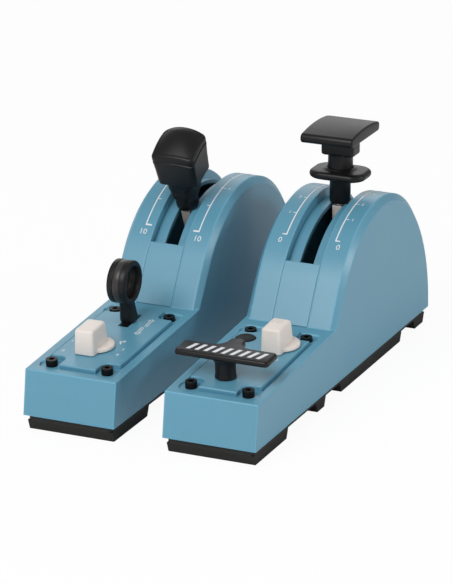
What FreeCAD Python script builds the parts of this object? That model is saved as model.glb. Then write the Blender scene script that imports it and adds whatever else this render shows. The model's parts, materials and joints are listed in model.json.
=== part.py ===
import FreeCAD, Part
import math
import os
import Sketcher
from FreeCAD import Placement, Rotation, Vector

# Throttle quadrant: two table-top modules side by side.
#
# The left module carries the speed lever, the ring-shaped gear lever and a rotary selector. The
# right module carries the flap lever with its lift collar, the parking handle, a trim selector and
# a push button. Millimetres; X runs across the modules to the right, Y from the user to the back,
# Z up. The origin is the centre of the pair's footprint, on the surface that it stands on.
#
# Each piece is drawn in one of three local frames and then placed:
#   module frame: centre line of its module, foot of the front face, standing surface
#   deck frame:   the sloped control deck, z = 0 on its surface, y along the slope
#   lever frame:  the lever axle, z along the lever

# alias, value in mm or degrees, meaning
SIZES = [
    ("module_width", 56.0, "width of one module"),
    ("module_length", 263.9, "front edge to rear wall"),
    ("module_gap", 29.7, "free space between the two modules"),
    ("skirt_height", 9.1, "height of the housing's lower edge"),
    ("wall", 2.5, "wall of the housing"),
    ("deck_height", 35.2, "height of the deck plane over the front edge"),
    ("deck_slope", 3.66, "slope of the deck, degrees"),
    ("front_lean", 3.6, "how far the front wall leans back"),
    ("tower_foot", 112.5, "where the tower rises from the deck"),
    ("rim_foot", 115.8, "where the rim's side edge rises from the deck"),
    ("pivot_y", 188.0, "lever axle behind the front edge"),
    ("pivot_z", 27.0, "lever axle over the standing surface"),
    ("arc_radius", 73.0, "tower arc about the lever axle"),
    ("rim_depth", 4.0, "rim chamfer, measured towards the axle"),
    ("rim_width", 3.0, "rim chamfer, measured across"),
    ("rear_blend", 45.0, "angle where the rear blend starts, degrees"),
    ("edge_round", 1.2, "rounding of the housing's edges"),
    ("strip_width", 22.0, "centre strip between its two seams"),
    ("seam", 0.15, "clearance of the centre strip"),
    ("channel_floor", 67.2, "radius of the channel's floor"),
    ("channel_front", 50.0, "angle of the channel's front end, degrees"),
    ("strip_end", 75.0, "angle of the strip's rear end, degrees"),
    ("strip_wall", 2.4, "wall of the centre strip"),
    ("slot_width", 8.4, "slot for the lever blade"),
    ("rib_width", 1.6, "ribs beside the centre strip"),
    ("base_inset", 1.8, "base tray inside the housing's outline"),
    ("foot_height", 6.0, "height of the feet"),
    ("foot_chamfer", 2.4, "slope of the feet's ends"),
    ("tray_floor", 1.6, "floor of the base tray"),
    ("tray_wall", 1.8, "wall of the base tray's lip"),
    ("lip_height", 3.0, "lip inside the housing"),
    ("fit_gap", 0.25, "clearance between static covers"),
    ("pocket_half", 23.0, "half width of the plate's pocket"),
    ("pocket_front", 9.8, "front edge of the plate's pocket"),
    ("pocket_back", 104.6, "rear edge of the plate's pocket"),
    ("pocket_depth", 0.95, "depth of the plate's pocket"),
    ("lobe_radius", 6.8, "pocket lobes around the screws"),
    ("screw_x", 17.22, "plate screws from the centre line"),
    ("screw_front", 15.06, "front plate screws"),
    ("screw_back", 97.04, "rear plate screws"),
    ("screw_sink", 1.5, "rear plate screws below the front ones"),
    ("screw_bore", 3.8, "counterbores of the rear plate screws"),
    ("screw_head_radius", 3.4, "socket head"),
    ("screw_head_height", 4.0, "socket head"),
    ("screw_socket_radius", 1.75, "hexagon socket"),
    ("screw_shank_radius", 1.6, "screw shank"),
    ("screw_shank_length", 8.0, "screw shank"),
    ("plate_half", 21.4, "half width of the control plate"),
    ("plate_front", 12.0, "front edge of the control plate"),
    ("plate_back", 103.0, "rear edge of the control plate"),
    ("plate_top", 1.8, "control plate over the deck"),
    ("plate_edge", 0.5, "chamfer of the control plate"),
    ("notch_x", 11.4, "plate corner notches start here"),
    ("notch_radius", 4.5, "hollow corners of the notches"),
    ("notch_front", 23.5, "front plate notches end here"),
    ("notch_back", 91.4, "rear plate notches start here"),
    ("deck_window_half", 20.95, "half width of the opening under the plate"),
    ("deck_window_front", 25.0, "front edge of the opening under the plate"),
    ("deck_window_back", 90.5, "rear edge of the opening under the plate"),
    ("deck_bay_half", 9.5, "half width of the bay at the rear of that opening"),
    ("deck_bay_back", 96.0, "rear edge of the bay"),
    ("deck_hatch", 7.2, "radius of the opening round the parking spindle"),
    ("skirt_radius", 11.4, "round skirt of the selectors"),
    ("skirt_thickness", 2.4, "round skirt of the selectors"),
    ("grip_width", 12.4, "selector grip at its foot"),
    ("grip_depth", 20.5, "selector grip at its foot"),
    ("grip_top", 15.7, "top of the selector grip over the deck"),
    ("grip_draft", 0.9, "draft of the grip's front and sides"),
    ("grip_slope", 3.9, "draft of the grip's rear"),
    ("grip_front", 13.6, "front of the grip before the axis"),
    ("grip_corner", 1.2, "upright corners of the grip"),
    ("knob_gap", 0.4, "selector over the control plate"),
    ("brake_knob_x", -3.3, "autobrake selector axis"),
    ("brake_knob_y", 40.8, "autobrake selector axis"),
    ("trim_knob_x", 8.6, "trim selector axis"),
    ("trim_knob_y", 78.8, "trim selector axis"),
    ("spindle_radius", 3.0, "selector spindle"),
    ("spindle_length", 12.0, "selector spindle"),
    ("running_gap", 0.05, "radial clearance of running fits"),
    ("free_gap", 0.4, "clearance round moving pieces"),
    ("encoder_size", 12.4, "encoder body"),
    ("encoder_height", 6.5, "encoder body"),
    ("tact_gap", 1.8, "travel left above the tactile switch"),
    ("button_x", -14.0, "push button"),
    ("button_y", 82.8, "push button"),
    ("button_radius", 5.7, "push button"),
    ("button_top", 2.2, "push button over the deck"),
    ("button_length", 6.0, "push button"),
    ("switch_size", 13.6, "switch housing under the push button"),
    ("switch_floor", 2.4, "switch housing under the push button"),
    ("park_x", -2.2, "parking handle axis"),
    ("park_y", 29.2, "parking handle axis"),
    ("park_length", 56.5, "parking handle bar"),
    ("park_width", 15.6, "parking handle bar"),
    ("park_thickness", 3.4, "parking handle bar"),
    ("park_top", 17.4, "top of the bar over the deck"),
    ("park_thumb", 5.0, "radius of the thumb pad behind the stem"),
    ("park_hollow", 7.0, "radius of the hollows beside the thumb pad"),
    ("park_corner", 2.6, "corners of the parking handle bar"),
    ("park_stem", 5.2, "radius of the parking handle's stem"),
    ("park_flare", 7.8, "radius of the stem under the bar"),
    ("park_spindle", 3.6, "radius of the parking spindle"),
    ("park_depth", 16.0, "parking spindle below the stem"),
    ("carrier_wall", 1.2, "lift sleeve of the parking handle"),
    ("carrier_length", 8.0, "lift sleeve of the parking handle"),
    ("guide_wall", 1.6, "guide of the lift sleeve"),
    ("guide_length", 12.0, "guide of the lift sleeve"),
    ("gear_x", -1.0, "gear lever plane"),
    ("gear_pivot_y", 84.3, "gear lever pin behind the front edge"),
    ("gear_drop", 8.0, "gear lever pin under the deck"),
    ("gear_reach", 37.8, "gear lever pin to ring centre"),
    ("gear_lean", 13.6, "gear lever towards the user at rest, degrees"),
    ("gear_stem", 4.4, "radius of the gear lever's stem at its foot"),
    ("gear_stem_top", 3.9, "radius of the gear lever's stem at the ring"),
    ("ring_radius", 12.0, "ring of the gear lever"),
    ("ring_hole", 8.9, "ring of the gear lever"),
    ("ring_width", 10.9, "ring of the gear lever"),
    ("ring_bevel", 1.8, "bevels of the ring"),
    ("ring_groove", 0.7, "groove round the ring"),
    ("gear_clear", 1.2, "foot of the gear lever's stem over the plate"),
    ("gear_foot", 1.0, "bevel of the stem's foot"),
    ("gear_tongue", 5.4, "flat foot of the gear lever, across"),
    ("gear_slot", 6.4, "width of the gear lever's slot"),
    ("gear_slot_front", 73.0, "front end of the gear lever's slot"),
    ("gear_slot_back", 92.5, "rear end of the gear lever's slot"),
    ("fork_depth", 12.0, "gear lever fork fore and aft"),
    ("gear_pin", 1.6, "radius of the gear lever's pin"),
    ("blade_width", 5.6, "lever blade across"),
    ("blade_depth", 10.0, "lever blade fore and aft"),
    ("blade_top", 66.2, "top of the blade's flat part"),
    ("rod_radius", 2.8, "rod above the blade"),
    ("blade_foot", 5.0, "foot of the blade in the hub"),
    ("flap_rod_top", 106.0, "top of the flap lever's rod"),
    ("speed_rod_top", 100.0, "top of the speed lever's rod"),
    ("hub_radius", 11.0, "lever hub"),
    ("hub_width", 13.0, "lever hub"),
    ("axle_radius", 4.0, "lever axle"),
    ("axle_length", 44.0, "lever axle"),
    ("bracket_x", 13.0, "inner face of the axle brackets"),
    ("bracket_wall", 2.6, "axle brackets"),
    ("bracket_depth", 34.0, "axle brackets at the axle"),
    ("bush_radius", 6.2, "axle bushes"),
    ("bush_flange", 8.2, "axle bushes"),
    ("bush_collar", 1.2, "thickness of the bush flange"),
    ("bracket_flange", 7.0, "bracket feet on the tray"),
    ("bracket_screw_y", 12.0, "bracket screws before and behind the axle"),
    ("pilot_depth", 1.2, "screw holes in the tray floor"),
    ("small_shank", 1.5, "radius of the bracket screws' shank"),
    ("small_head", 2.8, "radius of the bracket screws' head"),
    ("small_height", 2.0, "bracket screws' head"),
    ("sensor_shaft", 1.5, "radius of the sensor pinion's shaft"),
    ("sensor_size", 12.0, "sensor case"),
    ("sensor_depth", 6.4, "sensor case"),
    ("sensor_entry", 1.6, "shaft inside the sensor case"),
    ("board_width", 38.0, "circuit board"),
    ("board_length", 52.0, "circuit board"),
    ("board_wall", 1.6, "circuit board"),
    ("board_lift", 5.0, "circuit board over the tray floor"),
    ("board_y", 62.0, "middle of the circuit board"),
    ("board_post", 2.6, "radius of the circuit board's pillars"),
    ("board_post_edge", 4.0, "pillars from the board's edges"),
    ("speed_tilt", 23.0, "speed lever towards the user at rest, degrees"),
    ("tooth_size", 1.0, "module of the sensor gears"),
    ("sector_teeth", 48.0, "teeth of the full sector circle"),
    ("pinion_teeth", 12.0, "teeth of the sensor pinion"),
    ("sector_count", 14.0, "teeth on the sector"),
    ("backlash", 0.12, "free play of the sensor gears"),
    ("sector_wall", 3.0, "thickness of the sensor gears"),
    ("pinion_angle", 30.0, "sensor pinion behind the vertical, degrees"),
    ("sleeve_radius", 6.0, "flap lever sleeve"),
    ("sleeve_foot", 68.1, "foot of the flap lever sleeve"),
    ("collar_low", 82.9, "underside of the lift collar"),
    ("collar_wall", 4.8, "thickness of the lift collar"),
    ("collar_round", 2.1, "rounding of the lift collar"),
    ("collar_half_x", 17.3, "lift collar across"),
    ("collar_half_y", 12.2, "lift collar fore and aft"),
    ("collar_recess", 3.5, "recess that takes the neck when the collar lifts"),
    ("collar_corner", 10.5, "corners of the lift collar"),
    ("neck_radius", 7.1, "neck above the lift collar"),
    ("neck_foot", 88.0, "foot of the neck"),
    ("spring_well", 4.6, "radius of the spring's well in the neck"),
    ("spring_depth", 5.0, "depth of the spring's well"),
    ("block_low", 96.8, "underside of the paddle's block"),
    ("block_half_x", 10.2, "paddle's block across"),
    ("block_half_y", 6.4, "paddle's block fore and aft"),
    ("paddle_low", 107.6, "underside of the paddle"),
    ("paddle_radius", 115.0, "paddle's top about the axle"),
    ("paddle_half", 16.3, "paddle across"),
    ("paddle_front", -23.0, "paddle's front edge"),
    ("paddle_back", 20.5, "paddle's rear edge"),
    ("paddle_tip", 1.6, "sloped lower ends of the paddle"),
    ("block_corner", 2.0, "corners of the paddle's block"),
    ("ferrule_foot", 67.7, "foot of the speed lever's ferrule"),
    ("ferrule_radius", 6.3, "speed lever's ferrule"),
    ("ferrule_lip", 1.2, "wall at the foot of the ferrule"),
    ("head_foot", 72.0, "foot of the speed lever's head"),
    ("head_low", 87.5, "shoulder of the speed lever's head"),
    ("head_top", 115.6, "top of the speed lever's head about the axle"),
    ("head_taper", 0.86, "lower part of the head against its upper part"),
    ("head_crown", 6.0, "rise of the domed top"),
    ("neck_half", 7.6, "half width of the neck under the head"),
    ("neck_top", 83.0, "where the funnel reaches its full width"),
    ("head_corner", 3.0, "upright corners of the head"),
    ("head_half", 13.2, "speed lever's head across"),
    ("head_front", -8.8, "speed lever's head, front face"),
    ("head_back", 14.6, "speed lever's head, rear face"),
    ("socket_z", 19.0, "data socket over the standing surface"),
    ("socket_width", 13.0, "data socket body"),
    ("socket_height", 11.0, "data socket body"),
    ("socket_depth", 12.0, "data socket body"),
    ("socket_wall", 1.2, "data socket body"),
]

FEET = [(1.8, 50.0), (90.0, 105.0), (126.0, 224.0), (244.0, 262.1)]

doc = FreeCAD.newDocument("ThrottleQuadrant")
sheet = doc.addObject("Spreadsheet::Sheet", "Sizes")
for row, (alias, value, meaning) in enumerate(SIZES, start=1):
    sheet.set(f"A{row}", alias)
    sheet.set(f"B{row}", str(value))
    sheet.set(f"C{row}", meaning)
    sheet.setAlias(f"B{row}", alias)
doc.recompute()

NODES = {}


def size(name):
    """Value of a named size."""
    return float(sheet.get(name))


def bind(name):
    """Expression that refers to named sizes, written with a leading dot each."""
    return name.replace("$", "Sizes.")


# ---------------------------------------------------------------- frames


def module_frame(side):
    """Frame of the left (-1) or right (+1) module."""
    shift = side * (size("module_width") + size("module_gap")) / 2
    return Placement(Vector(shift, -size("module_length") / 2, 0), Rotation())


def deck_frame(side):
    """Frame of the sloped deck of one module."""
    tilt = Rotation(Vector(1, 0, 0), size("deck_slope"))
    return module_frame(side) * Placement(Vector(0, 0, size("deck_height")), tilt)


def lever_frame(side, lean):
    """Frame of a lever that leans towards the user by the given angle."""
    axle = Vector(0, size("pivot_y"), size("pivot_z"))
    return module_frame(side) * Placement(axle, Rotation(Vector(1, 0, 0), lean))


def gear_frame(side, lean):
    """Frame of the gear lever, at its pin."""
    y = size("gear_pivot_y")
    pin = Vector(size("gear_x"), y, deck_z(y) - size("gear_drop"))
    return module_frame(side) * Placement(pin, Rotation(Vector(1, 0, 0), lean))


def deck_z(y):
    """Height of the deck in the module frame."""
    return size("deck_height") + y * math.tan(math.radians(size("deck_slope")))


# ---------------------------------------------------------------- drawing helpers


def line(a, b):
    """Sketch line between two (u, v) points."""
    return Part.LineSegment(Vector(*a, 0), Vector(*b, 0))


def arc(centre, radius, start, end):
    """Sketch arc, angles in degrees, counter-clockwise from the u axis."""
    circle = Part.Circle(Vector(*centre, 0), Vector(0, 0, 1), radius)
    return Part.ArcOfCircle(circle, math.radians(start), math.radians(end))


def closed(points):
    """Closed outline of straight lines."""
    return [line(a, b) for a, b in zip(points, points[1:] + points[:1])]


def polar(centre, radius, angle):
    """Point at an angle counted from straight up towards the back."""
    turn = math.radians(angle)
    return (centre[0] + radius * math.sin(turn), centre[1] + radius * math.cos(turn))


def rounded(x0, y0, x1, y1, radius):
    """Rectangle with rounded corners."""
    return [
        line((x0 + radius, y0), (x1 - radius, y0)), arc((x1 - radius, y0 + radius), radius, 270, 360),
        line((x1, y0 + radius), (x1, y1 - radius)), arc((x1 - radius, y1 - radius), radius, 0, 90),
        line((x1 - radius, y1), (x0 + radius, y1)), arc((x0 + radius, y1 - radius), radius, 90, 180),
        line((x0, y1 - radius), (x0, y0 + radius)), arc((x0 + radius, y0 + radius), radius, 180, 270),
    ]


def ring_sector(centre, inner, outer, start, end):
    """Part of a ring between two angles counted from straight up towards the back."""
    corners = [polar(centre, r, a) for r, a in ((inner, start), (outer, start), (outer, end), (inner, end))]
    return [
        line(corners[0], corners[1]), arc(centre, outer, 90 - end, 90 - start),
        line(corners[2], corners[3]), arc(centre, inner, 90 - end, 90 - start),
    ]


class Piece:
    """A PartDesign body that collects sketches and features."""

    def __init__(self, label):
        self.body = doc.addObject("PartDesign::Body", label)
        self.body.Label = label
        self.body.AllowCompound = True
        self.count = 0

    def sketch(self, role, edges, height=0.0, frame=None):
        """Sketch on one of the body's origin planes, lifted by a height or set in a frame."""
        self.count += 1
        made = self.body.newObject("Sketcher::SketchObject", f"{self.body.Label}_s{self.count}")
        plane = next(f for f in self.body.Origin.OriginFeatures if f.Role == role)
        made.AttachmentSupport = [(plane, "")]
        made.MapMode = "FlatFace"
        made.AttachmentOffset = frame or Placement(Vector(0, 0, height), Rotation())
        made.addGeometry(edges, False)
        return made

    def disc(self, role, radius, centre=(0, 0), height=0.0, frame=None):
        """Sketch of one circle whose radius follows an expression."""
        start = Part.Circle(Vector(*centre, 0), Vector(0, 0, 1), 1)
        made = self.sketch(role, [start], height, frame)
        made.addConstraint(Sketcher.Constraint("Radius", 0, 1))
        made.setExpression("Constraints[0]", bind(radius))
        return made

    def feature(self, kind, profile, length, midplane=False, reverse=False):
        """Pad or Pocket of a sketch with a length bound to an expression."""
        self.count += 1
        made = self.body.newObject(f"PartDesign::{kind}", f"{self.body.Label}_f{self.count}")
        made.Profile = profile
        made.setExpression("Length", bind(length))
        if midplane:
            made.SideType = "Symmetric"
        made.Reversed = reverse
        profile.Visibility = False
        return made

    def loft(self, kind, profiles, ruled=True):
        """Additive or subtractive loft through sketches."""
        self.count += 1
        made = self.body.newObject(f"PartDesign::{kind}Loft", f"{self.body.Label}_f{self.count}")
        made.Profile = profiles[0]
        made.Sections = profiles[1:]
        made.Ruled = ruled
        return made

    def revolve(self, kind, profile, axis="H_Axis", angle=360):
        """Revolution or Groove about an axis of the sketch."""
        self.count += 1
        made = self.body.newObject(f"PartDesign::{kind}", f"{self.body.Label}_f{self.count}")
        made.Profile = profile
        made.ReferenceAxis = (profile, [axis])
        made.Angle = angle
        return made

    def round_edges(self, kind, amount, chooser):
        """Fillet or Chamfer on the edges of the last feature that the chooser accepts."""
        doc.recompute()
        tip = self.body.Tip
        names = [f"Edge{i}" for i, edge in enumerate(tip.Shape.Edges, 1) if chooser(edge)]
        self.count += 1
        made = self.body.newObject(f"PartDesign::{kind}", f"{self.body.Label}_f{self.count}")
        made.Base = (tip, names)
        made.setExpression("Radius" if kind == "Fillet" else "Size", bind(amount))
        return made

    def finish(self, frame):
        """Place the body and enter it as a node."""
        self.body.Placement = frame
        NODES[self.body.Label] = self.body
        return self.body


def cylinder(name, radius, height, at=Vector(), turn=None):
    """Part::Cylinder with bound sizes."""
    made = doc.addObject("Part::Cylinder", name)
    made.setExpression("Radius", bind(radius))
    made.setExpression("Height", bind(height))
    made.Placement = Placement(at, turn or Rotation())
    return made


def block(name, length, width, height, centre):
    """Part::Box with bound sizes, centred in x and y on a point and standing on it."""
    made = doc.addObject("Part::Box", name)
    for side, value in (("Length", length), ("Width", width), ("Height", height)):
        made.setExpression(side, bind(value))
    doc.recompute()
    shift = Vector(made.Length.Value / 2, made.Width.Value / 2, 0)
    made.Placement = Placement(centre - shift, Rotation())
    return made


def joined(label, parts):
    """Union of several objects."""
    made = doc.addObject("Part::MultiFuse", label)
    made.Shapes = parts
    return made


def cut(label, base, tool):
    """One object cut by another."""
    made = doc.addObject("Part::Cut", label)
    made.Base = base
    made.Tool = tool
    return made


def group(label, parts):
    """Several separate solids in one node."""
    made = doc.addObject("Part::Compound", label)
    made.Links = parts
    return made


def node(made, label, frame):
    """Place an object and enter it as a node."""
    made.Label = label
    made.Placement = frame
    NODES[label] = made
    return made


ALONG_X = Rotation(Vector(0, 1, 0), 90)


# ---------------------------------------------------------------- housing outline


def tangent_angle(foot, radius):
    """Angle from straight up of the point where a line from the foot touches the arc."""
    dy = foot[0] - size("pivot_y")
    dz = foot[1] - size("pivot_z")
    towards = math.degrees(math.atan2(dy, dz))
    return towards + math.degrees(math.acos(radius / math.hypot(dy, dz)))


def along(start, direction, other, other_direction):
    """Crossing point of two lines in the side plane."""
    cross = direction[0] * other_direction[1] - direction[1] * other_direction[0]
    gap = (other[0] - start[0], other[1] - start[1])
    step = (gap[0] * other_direction[1] - gap[1] * other_direction[0]) / cross
    return (start[0] + step * direction[0], start[1] + step * direction[1])


def rear_blend(radius, inset):
    """Centre and radius of the rear arc that ends upright on the rear wall."""
    centre = (size("pivot_y"), size("pivot_z"))
    angle = size("rear_blend")
    start = polar(centre, radius, angle)
    bend = math.radians(angle)
    blend = (size("module_length") - inset - start[0]) / (1 - math.sin(bend))
    return (start[0] - blend * math.sin(bend), start[1] - blend * math.cos(bend)), blend


def housing_outline(radius, foot_y, inset=0.0, bottom=None):
    """Side outline of the housing: front wall, deck, ramp, arc, rear blend and rear wall."""
    centre = (size("pivot_y"), size("pivot_z"))
    bottom = size("skirt_height") if bottom is None else bottom
    slope = math.radians(size("deck_slope"))
    deck_start = (0.0, size("deck_height") - inset / math.cos(slope))
    deck_run = (math.cos(slope), math.sin(slope))
    front_top = size("front_lean")
    rise = deck_z(front_top) - size("skirt_height")
    front_run = (front_top, rise)
    front_shift = inset * math.hypot(*front_run) / rise
    front_start = (front_shift, size("skirt_height"))
    touch = tangent_angle((foot_y, deck_z(foot_y)), radius)
    ramp_end = polar(centre, radius - inset, touch)
    ramp_run = (math.cos(math.radians(touch)), -math.sin(math.radians(touch)))
    low_front = along(front_start, front_run, (0, bottom), (1, 0))
    top_front = along(front_start, front_run, deck_start, deck_run)
    foot = along(deck_start, deck_run, ramp_end, ramp_run)
    blend_centre, blend = rear_blend(radius - inset, inset)
    rear = size("module_length") - inset
    return [
        line((rear, bottom), low_front), line(low_front, top_front), line(top_front, foot),
        line(foot, ramp_end), arc(centre, radius - inset, 90 - size("rear_blend"), 90 - touch),
        arc(blend_centre, blend, 0, 90 - size("rear_blend")),
        line((rear, blend_centre[1]), (rear, bottom)),
    ]


def deck_sketch_frame():
    """The deck as an attachment offset inside a module body."""
    return Placement(Vector(0, 0, size("deck_height")), Rotation(Vector(1, 0, 0), size("deck_slope")))


def screw_spots():
    """The four plate screws in the deck frame."""
    return [(x, y) for y in (size("screw_front"), size("screw_back")) for x in (-size("screw_x"), size("screw_x"))]


def housing(side, label):
    """Moulded housing with rim chamfer, hollow inside, open for the strip and the plate."""
    piece = Piece(label)
    centre = (size("pivot_y"), size("pivot_z"))
    half = size("module_width") / 2
    core = half - size("rim_width")
    radius = size("arc_radius")
    rim = radius - size("rim_depth")
    sections = []
    for x, r, foot in ((-half, rim, "rim_foot"), (-core, radius, "tower_foot"),
                       (core, radius, "tower_foot"), (half, rim, "rim_foot")):
        sections.append(piece.sketch("YZ_Plane", housing_outline(r, size(foot)), x))
    piece.loft("Additive", sections)
    inner = housing_outline(radius, size("tower_foot"), size("wall"), size("skirt_height") - 2)
    piece.feature("Pocket", piece.sketch("YZ_Plane", inner), "$module_width - 2 * $wall", midplane=True)
    rib_low = size("channel_floor") - size("strip_wall")
    ramp = tangent_angle((size("tower_foot"), deck_z(size("tower_foot"))), radius)
    ribs = ring_sector(centre, rib_low, radius - size("wall") / 2, ramp, size("strip_end"))
    piece.feature("Pad", piece.sketch("YZ_Plane", ribs), "$strip_width + 2 * $rib_width", midplane=True)
    foot = (size("tower_foot"), deck_z(size("tower_foot")))
    start = math.degrees(math.atan2(foot[0] - centre[0], foot[1] - centre[1]))
    gate = ring_sector(centre, rib_low - 2, radius + 30, start, size("strip_end"))
    piece.feature("Pocket", piece.sketch("YZ_Plane", gate), "$strip_width", midplane=True)
    deck = deck_sketch_frame()
    bed = rounded(-size("pocket_half"), size("pocket_front"), size("pocket_half"), size("pocket_back"), 2)
    piece.feature("Pocket", piece.sketch("XY_Plane", bed, frame=deck), "$pocket_depth")
    lobes = [circle(spot, size("lobe_radius")) for spot in screw_spots()]
    piece.feature("Pocket", piece.sketch("XY_Plane", lobes, frame=deck), "$pocket_depth")
    window = rounded(-size("deck_window_half"), size("deck_window_front"), size("deck_window_half"),
                     size("deck_window_back"), size("seam"))
    piece.feature("Pocket", piece.sketch("XY_Plane", window, frame=deck), "$wall + 1")
    bay = rounded(-size("deck_bay_half"), size("deck_window_back") - 5, size("deck_bay_half"),
                  size("deck_bay_back"), 2)
    piece.feature("Pocket", piece.sketch("XY_Plane", bay, frame=deck), "$wall + 1")
    hatch = [circle((size("park_x"), size("park_y")), size("deck_hatch"))]
    piece.feature("Pocket", piece.sketch("XY_Plane", hatch, frame=deck), "$wall + 1")
    sunk = [circle(spot, size("screw_bore")) for spot in screw_spots() if spot[1] == size("screw_back")]
    piece.feature("Pocket", piece.sketch("XY_Plane", sunk, frame=deck), "$pocket_depth + $screw_sink")
    holes = [circle(spot, size("screw_shank_radius")) for spot in screw_spots()]
    piece.feature("Pocket", piece.sketch("XY_Plane", holes, frame=deck), "$wall + 1")
    mouth = socket_rect(size("fit_gap"))
    rear = Placement(Vector(0, 0, -size("module_length") - 1), Rotation())
    piece.feature("Pocket", piece.sketch("XZ_Plane", mouth, frame=rear), "$wall + 3", reverse=True)
    piece.finish(module_frame(side))


def socket_rect(grow):
    """Outline of the data socket seen from behind."""
    half = size("socket_width") / 2 + grow
    low = size("socket_z") - size("socket_height") / 2 - grow
    return closed([(-half, low), (half, low), (half, low + size("socket_height") + 2 * grow),
                   (-half, low + size("socket_height") + 2 * grow)])


def centre_strip(side, label):
    """Arc-shaped strip between the seams: flush front, sunk channel with the lever slot, flush rear."""
    piece = Piece(label)
    centre = (size("pivot_y"), size("pivot_z"))
    radius = size("arc_radius")
    wall = size("strip_wall")
    floor = size("channel_floor")
    front = -size("channel_front")
    back = size("rear_blend")
    end = size("strip_end")
    touch = tangent_angle((size("tower_foot"), deck_z(size("tower_foot"))), radius)
    ramp_run = (math.cos(math.radians(touch)), -math.sin(math.radians(touch)))
    slope = math.radians(size("deck_slope"))
    deck = ((0, size("deck_height") + size("seam")), (math.cos(slope), math.sin(slope)))
    ramp_top = polar(centre, radius, touch)
    ramp_in = polar(centre, radius - wall, touch)
    foot_out = along(ramp_top, ramp_run, *deck)
    foot_in = along(ramp_in, ramp_run, *deck)
    lap = math.degrees(wall / floor)
    outer_centre, outer = rear_blend(radius, 0)
    stop = end_angle(outer_centre, outer, centre, end)
    outline = [
        line(foot_in, foot_out), line(foot_out, ramp_top), arc(centre, radius, 90 - front, 90 - touch),
        line(polar(centre, radius, front), polar(centre, floor, front)),
        arc(centre, floor, 90 - back, 90 - front),
        line(polar(centre, floor, back), polar(centre, radius, back)),
        arc(outer_centre, outer, 90 - stop, 90 - back),
        line(polar(outer_centre, outer, stop), polar(outer_centre, outer - wall, stop)),
        arc(outer_centre, outer - wall, 90 - stop, 90 - back - lap),
        line(polar(outer_centre, outer - wall, back + lap), polar(centre, floor - wall, back + lap)),
        arc(centre, floor - wall, 90 - back - lap, 90 - front + lap),
        line(polar(centre, floor - wall, front - lap), polar(centre, radius - wall, front - lap)),
        arc(centre, radius - wall, 90 - front + lap, 90 - touch), line(ramp_in, foot_in),
    ]
    piece.feature("Pad", piece.sketch("YZ_Plane", outline), "$strip_width - 2 * $seam", midplane=True)
    slot = ring_sector(centre, floor - wall - 1, floor + 1, front + 0.4, back - 0.4)
    piece.feature("Pocket", piece.sketch("YZ_Plane", slot), "$slot_width", midplane=True)
    piece.finish(module_frame(side))


def end_angle(blend_centre, blend, centre, angle):
    """Angle about the rear blend's centre of the point that lies at an angle about the axle."""
    run = (math.sin(math.radians(angle)), math.cos(math.radians(angle)))
    dy = centre[0] - blend_centre[0]
    dz = centre[1] - blend_centre[1]
    half = dy * run[0] + dz * run[1]
    reach = -half + math.sqrt(half * half - dy * dy - dz * dz + blend * blend)
    return math.degrees(math.atan2(dy + reach * run[0], dz + reach * run[1]))


# ---------------------------------------------------------------- base


def base_tray(side, label):
    """Base tray: a visible band under the housing, a lip inside it and a hollow above the floor."""
    piece = Piece(label)
    half = size("module_width") / 2 - size("base_inset")
    front = size("base_inset")
    back = size("module_length") - size("base_inset")
    band = rounded(-half, front, half, back, 3)
    piece.feature("Pad", piece.sketch("XY_Plane", band, size("foot_height")), "$skirt_height - $foot_height")
    lip_half = size("module_width") / 2 - size("wall") - size("fit_gap")
    lip_front = size("wall") + size("fit_gap") + size("front_lean") * 0.2
    lip_back = size("module_length") - size("wall") - size("fit_gap")
    lip = rounded(-lip_half, lip_front, lip_half, lip_back, 2)
    piece.feature("Pad", piece.sketch("XY_Plane", lip, size("skirt_height")), "$lip_height")
    wall = size("tray_wall")
    well = rounded(-lip_half + wall, lip_front + wall, lip_half - wall, lip_back - wall, 1)
    well = piece.sketch("XY_Plane", well, size("skirt_height") + size("lip_height"))
    piece.feature("Pocket", well, "$skirt_height + $lip_height - $foot_height - $tray_floor")
    spots = [circle(spot, size("small_shank")) for spot in bracket_spots()]
    spots = piece.sketch("XY_Plane", spots, size("foot_height") + size("tray_floor"))
    piece.feature("Pocket", spots, "$pilot_depth")
    piece.finish(module_frame(side))


def feet(side, label):
    """Four rubber feet across the base, with sloped ends that leave the side notches open."""
    piece = Piece(label)
    slope = size("foot_chamfer")
    top = size("foot_height")
    edges = []
    for start, end in FEET:
        edges += closed([(start, top), (start + slope, 0), (end - slope, 0), (end, top)])
    piece.feature("Pad", piece.sketch("YZ_Plane", edges), "$module_width - 2 * $base_inset", midplane=True)
    piece.finish(module_frame(side))


def data_socket(side, label):
    """Data socket in the rear wall, open to the back."""
    piece = Piece(label)
    face = size("module_length")
    outer = piece.sketch("XZ_Plane", socket_rect(0), frame=Placement(Vector(0, 0, -face), Rotation()))
    piece.feature("Pad", outer, "$socket_depth")
    inner = piece.sketch("XZ_Plane", socket_rect(-size("socket_wall")), frame=Placement(Vector(0, 0, -face), Rotation()))
    piece.feature("Pocket", inner, "$socket_depth - $socket_wall", reverse=True)
    piece.finish(module_frame(side))


# ---------------------------------------------------------------- deck pieces


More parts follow.
